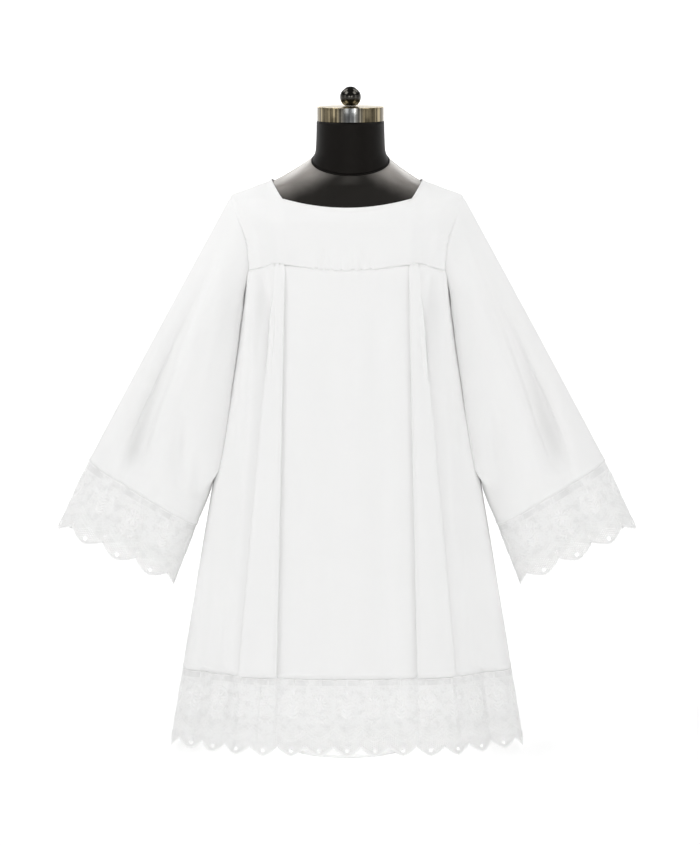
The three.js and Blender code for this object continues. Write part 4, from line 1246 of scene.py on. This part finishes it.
def make_sleeve(hand):
    """A bell sleeve down to its lace, closed round, with its underarm seam and creases."""
    chosen = settings().cloth
    turn = np.linspace(0, ROUND, SLEEVE_STEPS["round"]) + math.pi
    top_share = SLEEVE_STEPS["top_share"]
    along = np.concatenate([
        np.linspace(0, top_share, SLEEVE_STEPS["top"])[:-1], np.linspace(top_share, 1, SLEEVE_STEPS["below"]),
    ])
    turns, places = np.meshgrid(turn, along)
    made = sleeve_point(turns, places)
    made[0, :, 0] -= TUCK
    made = made * HAND_MIRROR[hand]
    centre = np.broadcast_to(made[:, :-1].mean(axis=1)[:, None], made.shape)
    from_edges = np.sqrt(np.abs(np.sin(turns)))

    def relief(at, down_by, across):
        hem = edge_relief(down_by[-1] - down_by, SLEEVE_HEM)
        seam = SLEEVE_SEAM["ridge"] * bump((turns % ROUND - math.pi) / SLEEVE_SEAM["width"])
        seam = seam * ease(down_by / SLEEVE_SEAM["fade"])
        tuck = SLEEVE_SEAM["tuck"] * (1 - ease(down_by / SLEEVE_SEAM["tuck_fade"]))
        front = crease_relief(at, SLEEVE_CREASES[hand, "front"]) * (np.sin(turns) >= 0)
        back = crease_relief(at, SLEEVE_CREASES[hand, "back"]) * (np.sin(turns) < 0)
        creases = (front + back) * from_edges * ease(down_by / CREASE_FADE["sleeve"]) * chosen.crease_depth
        return hem + seam - tuck + creases

    name = "sleeve_" + hand
    piece = cloth_piece("cloth_" + name, made, material_named("plain_weave_cotton"), relief, chosen.thickness,
                        wrap=True, centre=centre)
    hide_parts(name)


def on_surface(surface, scallop, down):
    """Points of a lace surface, and the directions off it."""
    across = surface(scallop + 0.02, down) - surface(scallop - 0.02, down)
    lower = surface(scallop, down + 1.0) - surface(scallop, down - 1.0)
    return surface(scallop, down), unit(np.cross(across, lower))


def sleeve_centre(name, down, length):
    """The middle of the sleeve's tube beside each point of its lace."""
    hand = name.split("_")[2]
    start, end = (
        np.array([(x + inner_x) / 2, 0, (z + inner_z) / 2]) for _, x, z, inner_x, inner_z, _ in SLEEVE[3:])
    return mix(start, end, (down / length)[..., None]) * HAND_MIRROR[hand]


def draped_lace(name):
    """The lace surface called name, with the folds and pleats of the cloth above carried on down it."""
    surface, count, length, pitch = lace_surface(name)
    on_hem = name.startswith("hem")
    creases = PANEL_CREASES[name.rsplit("_", 1)[1]] if on_hem else SLEEVE_CREASES[tuple(name.split("_")[2:])]

    def draped(scallop, down):
        at, out = on_surface(surface, scallop, down)
        middle = points(0, 0, at[..., 2]) if on_hem else sleeve_centre(name, down, length)
        out = out * np.where(((at - middle) * out).sum(axis=-1) < 0, -1, 1)[..., None]
        seam = surface(scallop, np.zeros_like(down))
        share = np.clip(down / length, 0, 1)
        fold = crease_relief(seam, creases) * mix(1, CREASE_AT_TIPS, share)
        if on_hem:
            inner, outer = ((np.abs(seam[..., 0]) - edge) / soft + 0.5
                            for edge, soft in zip(PLEAT_AT_HEM, PLEAT_EDGES_AT_HEM))
            pleat = ease(inner) * (1 - ease(outer))
            fold = fold + pleat * mix(*PLEAT_ON_LACE, share)
        else:
            fold = fold * np.sqrt(np.clip(np.abs(at[..., 1]) / SLEEVE[3, 5], 0, 1))
        return at + out * (fold * settings().cloth.crease_depth)[..., None]

    return draped, count, length, pitch


def make_net(name, surface, count, length, pitch):
    """The net of a lace band, on the node's own surface."""
    chosen = settings().lace
    share = np.concatenate([[NET_UNDER], np.linspace(0, 1, NET_ROWS)])
    place, share = np.meshgrid(np.linspace(0, count, count * NET_COLUMNS + 1), share)
    down = share * (length - scallop_rise(place))
    made = surface(place, down)
    centre = None if name.startswith("hem") else sleeve_centre(name, down, length)
    uv = np.stack([place * pitch, down], axis=-1)

    def relief(at, down_by, across):
        return NET_TUCK * (ease(down_by / NET_TUCK_FADE) - 1)

    lace_net_material(chosen, name + "_net", length, pitch)
    return cloth_piece(name + "_net", made, name + "_net", relief, chosen.net_thickness, centre=centre, uv=uv)


def make_embroidery(name, surface, count, length, pitch):
    """The raised thread of a lace band, with its two motifs by turns."""
    bm = bmesh.new()
    for first, draw_motif in enumerate(MOTIFS):
        drawn = flat_repeat(draw_motif, pitch, length)
        flat = np.array([vert.co for vert in drawn.vertices])
        for k in range(first, count, 2):
            at, out = on_surface(surface, k + 0.5 + flat[:, 0] / pitch, flat[:, 1])
            lifted = at + out * (flat[:, 2] * settings().lace.relief / MM)[:, None]
            copy = drawn.copy()
            copy.vertices.foreach_set("co", (lifted * MM).ravel())
            bm.from_mesh(copy)
            bpy.data.meshes.remove(copy)
        bpy.data.meshes.remove(drawn)
    bmesh.ops.recalc_face_normals(bm, faces=bm.faces[:])
    return keep(name + "_embroidery", bm, material_named("satin_stitch_thread"))


def make_lace(name):
    """A lace band: its net, and the embroidery on it."""
    surface, count, length, pitch = draped_lace(name)
    net = make_net(name, surface, count, length, pitch)
    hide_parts(name)
    thread = make_embroidery(name, surface, count, length, pitch)
    round(count * pitch) * MM
    length * MM


def closed_tube(rings):
    """A closed solid through rings of points. Its ends are filled, or joined where they are the same ring."""
    bm = bmesh.new()
    count = len(rings[0])
    verts, column, row = mapped_grid(bm, count, len(rings) - 1)
    for vert, j, i in zip(verts, column, row):
        vert.co = rings[i][j % count] * MM
    bmesh.ops.remove_doubles(bm, verts=bm.verts[:], dist=WELD)
    bmesh.ops.holes_fill(bm, edges=[edge for edge in bm.edges if edge.is_boundary], sides=0)
    bmesh.ops.recalc_face_normals(bm, faces=bm.faces[:])
    return bm


def tilted_ring(turn, radius_x, radius_y, height, tilt):
    """A level ring round the neck, or one that is tilted down in front."""
    ahead = np.cos(turn)
    return points(NECK_SHIFT + radius_x * np.sin(turn), -radius_y * ahead, height - tilt * ahead)


def neck_ring(turn, out=0, up=0):
    """The foot of the neck, or a ring beside it."""
    radius_x, radius_y, height, tilt = (NECK_RING[key] for key in ("x", "y", "height", "tilt"))
    return tilted_ring(turn, radius_x + out, radius_y + out, height + up, tilt)


def torso_rings(turn):
    """Rings of the torso from its foot over the shoulders to the foot of the neck."""
    sections = np.concatenate([TORSO, [
        (z - TORSO_DROP, *(smooth_line(BODY, z, k) - TORSO_INSET for k in (1, 2, 3))) for z in TORSO_LEVELS]])
    across, ahead = body_round(turn)
    below = np.linspace(TORSO[0, 0], TORSO_UNDERARM, FORM_STEPS["below"])
    above = np.linspace(TORSO_UNDERARM, TORSO_TOP, FORM_STEPS["above"])[1:]
    rings = []
    for z in np.concatenate([below, above]):
        depth = np.where(ahead >= 0, smooth_line(sections, z, 2), smooth_line(sections, z, 3))
        rings.append(points(smooth_line(sections, z) * across, -depth * ahead, z))
    shoulder, neck = rings[-1], neck_ring(turn)
    for t in np.linspace(0, 1, FORM_STEPS["shoulder"])[1:]:
        rings.append(mix(shoulder, neck, t) - np.array([0, 0, SHOULDER_SAG * t * (1 - t)]))
    return rings


def make_form_cover():
    """Torso and neck under the black stretch cover, and the seam between them."""
    turn = np.linspace(0, ROUND, FORM_STEPS["round"] + 1)[:-1]
    torso = keep("torso_cover", closed_tube(torso_rings(turn)), material_named("black_shoulder_cover"))
    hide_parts("form_torso")

    foot, bend, top = FORM_NECK[0, 0], FORM_NECK[1, 0], FORM_NECK[-1, 0]
    levels = np.concatenate([
        np.linspace(foot, bend, FORM_STEPS["neck_foot"]), np.linspace(bend, top, FORM_STEPS["neck"])[1:],
    ])
    rings = []
    for z in levels:
        radius_x, radius_y, tilt = (smooth_line(FORM_NECK, z, k) for k in (1, 2, 3))
        rings.append(tilted_ring(turn, radius_x, radius_y, z, tilt))
    neck = keep("neck_cover", closed_tube(rings), material_named("black_neck_cover"))
    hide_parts("form_neck")

    radius, sides = PIPING["radius"], PIPING["sides"]
    rings = [neck_ring(turn, radius * math.cos(angle), PIPING["raised"] + radius * math.sin(angle))
             for angle in np.linspace(0, ROUND, sides + 1)]
    seam = keep("neck_seam_piping", closed_tube(rings), material_named("black_neck_cover"))


def turned_piece(name, profile, steps, x, material, node, rounding, corners):
    """A turned piece: a profile with its sharp rims rounded, spun round."""
    bm = bmesh.new()
    verts = [bm.verts.new((r * MM, 0, z * MM)) for r, z in profile]
    for pair in zip(verts, verts[1:]):
        bm.edges.new(pair)
    bmesh.ops.bevel(bm, geom=[verts[k] for k in corners], offset=rounding * MM, offset_type="OFFSET",
                    segments=4, profile=0.5, affect="VERTICES", material=-1)
    bmesh.ops.spin(bm, geom=bm.verts[:] + bm.edges[:], cent=(0, 0, 0), axis=(0, 0, 1), angle=ROUND,
                   steps=steps, use_merge=True)
    bmesh.ops.remove_doubles(bm, verts=bm.verts[:], dist=WELD)
    bmesh.ops.recalc_face_normals(bm, faces=bm.faces[:])
    bmesh.ops.translate(bm, verts=bm.verts[:], vec=(x * MM, 0, 0))
    piece = keep(name, bm, material_named(material))
    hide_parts(node)


def make_metalwork():
    """The cap on the neck and the knob on it."""
    radius, bottom, band_top, top = (CAP[key] for key in ("radius", "bottom", "band_top", "top"))
    inner = radius - CAP["edge"]
    profile = [(0, bottom), (radius, bottom), (radius, band_top), (inner, band_top + 0.2)]
    profile += [(inner * (1 - t), mix(band_top, top, 1 - (1 - t) ** 2)) for t in np.linspace(0, 1, 14)[1:]]
    turned_piece("gold_cap", profile, 128, NECK_SHIFT, "polished_gold_cap", "form_cap",
                 rounding=0.6, corners=(1, 2, 3))

    foot, stem, ball = top + SEAM_GAP, KNOB["stem"], KNOB["ball"]
    profile = [(0, foot), (stem, foot), (stem, foot + KNOB["stem_height"])]
    profile += [(ball * math.sin(a), KNOB["ball_height"] - ball * math.cos(a))
                for a in np.linspace(math.asin(KNOB["ball_foot"] / ball), math.pi, 30)]
    profile[-1] = (0, profile[-1][1])
    turned_piece("ball_knob", profile, 72, NECK_SHIFT, "polished_dark_knob", "form_knob",
                 rounding=0.3, corners=(1,))


def make_stand():
    """The pole and the base plate, hidden under the skirt."""
    radius, bottom, top = POLE["radius"], POLE["bottom"], POLE["top"]
    profile = [(0, bottom), (radius, bottom), (radius, top), (0, top)]
    turned_piece("stand_pole", profile, 48, 0, "white_stand_paint", "form_pole",
                 rounding=0.8, corners=(1, 2))
    radius, rim, hub, hub_top = BASE["radius"], BASE["rim"], BASE["hub"], BASE["hub_top"]
    profile = [(0, 0), (radius, 0), (radius, rim), (hub, hub_top), (0, hub_top)]
    turned_piece("stand_base", profile, 96, 0, "white_stand_paint", "form_base",
                 rounding=1.2, corners=(2, 3))


# The studio

def floor_paper(chosen):
    """Pale paper that gives off light: more away from the piece and behind it, and less up the wall."""
    s = Shading("studio_paper")
    where = s.where("Object")
    _, deep, height = s.parts(where)
    distance = s.node("VectorMath", {0: where}, out="Value", operation="LENGTH")
    away, behind, high = rising(distance, 1.4, 0.3), rising(deep, 0.8, 0.4), rising(height, 1.2, 1.2)
    glow = (away * 0.12 + behind * 0.55 + 0.35) * (1.0 - high * 0.8) * chosen.light_table
    s.set(Base_Color=s.blend(s.noise(where, 3), shade(chosen.floor_colour, 0.99), shade(chosen.floor_colour)),
          Roughness=0.9, Specular_IOR_Level=0.0, Emission_Color=(1, 1, 1, 1), Emission_Strength=glow)
    s.relief(s.noise(where, 300), 0.0001, 0.1)
    return s.material


def make_floor(chosen):
    """A round floor that curves up into a wall all round."""
    flat, bend, wall, columns, rows = (FLOOR[key] for key in ("flat", "bend", "wall", "columns", "rows"))
    quarter = bend * math.pi / 2
    bm = bmesh.new()
    verts, column, row = mapped_grid(bm, columns, rows)
    for vert, j, i in zip(verts, column, row):
        run = i / rows * (flat + quarter + wall)
        a = min(max(run - flat, 0) / bend, math.pi / 2)
        out = min(run, flat) + bend * math.sin(a)
        height = bend * (1 - math.cos(a)) + max(0, run - flat - quarter)
        vert.co = (out * math.sin(ROUND * j / columns), out * math.cos(ROUND * j / columns), height)
    bmesh.ops.remove_doubles(bm, verts=bm.verts[:], dist=1e-5)
    bm.normal_update()
    if sum(face.normal.z for face in bm.faces) < 0:
        bmesh.ops.reverse_faces(bm, faces=bm.faces[:])
    for face in bm.faces:
        face.smooth = True
    mesh = bpy.data.meshes.new("studio_floor")
    bm.to_mesh(mesh)
    bm.free()
    mesh.materials.append(floor_paper(chosen))
    floor = bpy.data.objects.new("studio_floor", mesh)
    bpy.context.scene.collection.objects.link(floor)


def aim(thing, place, target):
    """Puts a lamp or the camera in its place, looking at the target."""
    thing.location = place
    thing.rotation_euler = (Vector(target) - Vector(place)).to_track_quat("-Z", "Y").to_euler()
    bpy.context.scene.collection.objects.link(thing)


def make_studio():
    """A round pale floor that curves up all round, soft lamps, and the camera at the photograph's angle."""
    chosen = settings().studio
    scene = bpy.context.scene
    make_floor(chosen)
    world = bpy.data.worlds.new("studio_light")
    world.use_nodes = True
    background = world.node_tree.nodes["Background"]
    background.inputs["Color"].default_value = (1, 1, 1, 1)
    background.inputs["Strength"].default_value = chosen.ambient
    scene.world = world

    for name, place, target, size, power in LAMPS:
        light = bpy.data.lights.new(name, "AREA")
        light.shape = "RECTANGLE"
        light.size, light.size_y = size
        light.energy = power * chosen.lamps
        aim(bpy.data.objects.new(name, light), place, target)

    camera_data = bpy.data.cameras.new("camera")
    camera_data.lens = CAMERA["lens"]
    camera_data.sensor_width = CAMERA["sensor"]
    camera_data.clip_end = CAMERA["reach"]
    camera = bpy.data.objects.new("camera", camera_data)
    aim(camera, CAMERA["eye"], CAMERA["target"])
    scene.camera = camera
    scene.view_settings.view_transform = "Standard"
    scene.view_settings.look = "None"


# The add-on's settings

def colour_property(name, description, default):
    return bpy.props.FloatVectorProperty(
        name=name, description=description, default=default, size=4, subtype="COLOR", min=0, max=1)


def length_property(name, description, default, low, high):
    return bpy.props.FloatProperty(
        name=name, description=description, default=default, min=low, max=high, precision=5,
        subtype="DISTANCE", unit="LENGTH")


class SurpliceCloth(bpy.types.PropertyGroup):
    """Sizes and colour of the cloth."""

    thickness: length_property("Cloth thickness", "Thickness of the cloth", 0.0009, 0.0003, 0.003)
    thread_pitch: length_property(
        "Thread pitch", "Distance between the threads of the weave", 0.0006, 0.0002, 0.003)
    crease_depth: bpy.props.FloatProperty(
        name="Crease depth", description="How deep the creases are, as a share of the pictured ones",
        default=1.0, min=0, max=1.5, subtype="FACTOR")
    colour: colour_property("Cloth colour", "Colour of the cloth", (0.9, 0.9, 0.895, 1))


class SurpliceLace(bpy.types.PropertyGroup):
    """Sizes and colour of the lace."""

    net_cell: length_property("Net cell", "Width of a cell of the fine net", 0.0022, 0.001, 0.006)
    net_thickness: length_property("Net thickness", "Thickness of the net", 0.0003, 0.0001, 0.001)
    # Painted shade: how dark the net's colour gets in its holes, where the inside shows through.
    painted_net_shade: bpy.props.FloatProperty(
        name="Net shade", description="How light the net is between its threads, as a share of its colour",
        default=0.84, min=0.3, max=1, subtype="FACTOR")
    relief: length_property(
        "Embroidery relief", "How far a stitch of one millimetre stands off the net", 0.0015, 0.0005, 0.002)
    colour: colour_property("Lace colour", "Colour of net and thread", (0.99, 0.99, 0.985, 1))


class SurpliceForm(bpy.types.PropertyGroup):
    """Colours of the dress form."""

    cover_colour: colour_property("Cover colour", "Colour of the stretch cover", (0.008, 0.0068, 0.006, 1))
    # The colour of the painted highlight on top of the shoulders.
    cover_painted_highlight: colour_property(
        "Cover nap", "Tone of the cover where its nap catches the light", (0.36, 0.335, 0.31, 1))
    cap_colour: colour_property("Cap colour", "Gold of the cap's metal", (0.86, 0.72, 0.46, 1))
    # The paler tone of the cap's painted reflections, between its streaks.
    cap_painted_silver: colour_property(
        "Cap silver", "Paler tone of the cap's metal between its streaks", (0.72, 0.74, 0.74, 1))
    knob_colour: colour_property("Knob colour", "Colour of the knob's metal", (0.055, 0.052, 0.046, 1))
    stand_colour: colour_property("Stand colour", "Colour of the stand's paint", (0.95, 0.95, 0.945, 1))


class SurpliceStudio(bpy.types.PropertyGroup):
    """Floor and light."""

    floor_colour: colour_property("Floor colour", "Colour of the floor paper", (0.8, 0.8, 0.8, 1))
    ambient: bpy.props.FloatProperty(
        name="Ambient light", description="Strength of the light from all round", default=0.17, min=0, max=3)
    light_table: bpy.props.FloatProperty(
        name="Light table", description="Strength of the light that the floor paper gives off", default=1.0,
        min=0, max=3)
    lamps: bpy.props.FloatProperty(
        name="Lamp light", description="Strength of the soft lamps", default=1.0, min=0, max=4,
        subtype="FACTOR")


class SurpliceSettings(bpy.types.PropertyGroup):
    """All settings of the surplice."""

    cloth: bpy.props.PointerProperty(
        type=SurpliceCloth, name="Cloth", description="Sizes and colour of the cloth")
    lace: bpy.props.PointerProperty(
        type=SurpliceLace, name="Lace", description="Sizes and colour of the lace")
    form: bpy.props.PointerProperty(
        type=SurpliceForm, name="Dress form", description="Colours of the dress form")
    studio: bpy.props.PointerProperty(
        type=SurpliceStudio, name="Studio", description="Floor and light")


# Operators

class SURPLICE_OT_dress_form(bpy.types.Operator):
    """Make the dress form: torso, neck, cap, knob, pole and base"""

    bl_idname = "surplice.dress_form"
    bl_label = "Dress form"

    def execute(self, context):
        make_form_cover()
        make_metalwork()
        make_stand()
        return {"FINISHED"}


class SURPLICE_OT_yokes(bpy.types.Operator):
    """Make the front and back yoke"""

    bl_idname = "surplice.yokes"
    bl_label = "Yokes"

    def execute(self, context):
        for side in ("front", "back"):
            make_yoke(side)
        return {"FINISHED"}


class SURPLICE_OT_panels(bpy.types.Operator):
    """Make the front and back panel with their box pleats"""

    bl_idname = "surplice.panels"
    bl_label = "Pleated panels"

    def execute(self, context):
        for side in ("front", "back"):
            make_panel(side)
        return {"FINISHED"}


class SURPLICE_OT_sleeves(bpy.types.Operator):
    """Make both bell sleeves"""

    bl_idname = "surplice.sleeves"
    bl_label = "Sleeves"

    def execute(self, context):
        for hand in ("left", "right"):
            make_sleeve(hand)
        return {"FINISHED"}


class SURPLICE_OT_hem_lace(bpy.types.Operator):
    """Make the scalloped lace of the hem"""

    bl_idname = "surplice.hem_lace"
    bl_label = "Hem lace"

    def execute(self, context):
        for side in ("front", "back"):
            make_lace("hem_lace_" + side)
        return {"FINISHED"}


class SURPLICE_OT_cuff_lace(bpy.types.Operator):
    """Make the scalloped lace of both cuffs"""

    bl_idname = "surplice.cuff_lace"
    bl_label = "Cuff lace"

    def execute(self, context):
        for hand in ("left", "right"):
            for side in ("front", "back"):
                make_lace("cuff_lace_%s_%s" % (hand, side))
        return {"FINISHED"}


class SURPLICE_OT_studio(bpy.types.Operator):
    """Make the floor, the light and the camera"""

    bl_idname = "surplice.studio"
    bl_label = "Studio"

    def execute(self, context):
        make_studio()
        return {"FINISHED"}


STEPS = (
    SURPLICE_OT_dress_form,
    SURPLICE_OT_yokes,
    SURPLICE_OT_panels,
    SURPLICE_OT_sleeves,
    SURPLICE_OT_hem_lace,
    SURPLICE_OT_cuff_lace,
    SURPLICE_OT_studio,
)


class SURPLICE_PT_sidebar(bpy.types.Panel):
    """Lists the settings and the steps"""

    bl_idname = "SURPLICE_PT_sidebar"
    bl_label = "Surplice"
    bl_space_type = "VIEW_3D"
    bl_region_type = "UI"
    bl_category = "Surplice"

    def draw(self, context):
        chosen = context.scene.surplice
        for group in ("cloth", "lace", "form", "studio"):
            box = self.layout.box()
            box.label(text=chosen.bl_rna.properties[group].name)
            part = getattr(chosen, group)
            for key in part.__annotations__:
                box.prop(part, key)
        for step in STEPS:
            self.layout.operator(step.bl_idname)


CLASSES = (
    SurpliceCloth, SurpliceLace, SurpliceForm, SurpliceStudio, SurpliceSettings, *STEPS, SURPLICE_PT_sidebar,
)


def register():
    for entry in CLASSES:
        bpy.utils.register_class(entry)
    bpy.types.Scene.surplice = bpy.props.PointerProperty(type=SurpliceSettings)


def unregister():
    del bpy.types.Scene.surplice
    for entry in reversed(CLASSES):
        bpy.utils.unregister_class(entry)


def main():
    register()
    bpy.ops.surplice.dress_form()
    bpy.ops.surplice.yokes()
    bpy.ops.surplice.panels()
    bpy.ops.surplice.sleeves()
    bpy.ops.surplice.hem_lace()
    bpy.ops.surplice.cuff_lace()
    bpy.ops.surplice.studio()


if __name__ == "__main__":
    main()
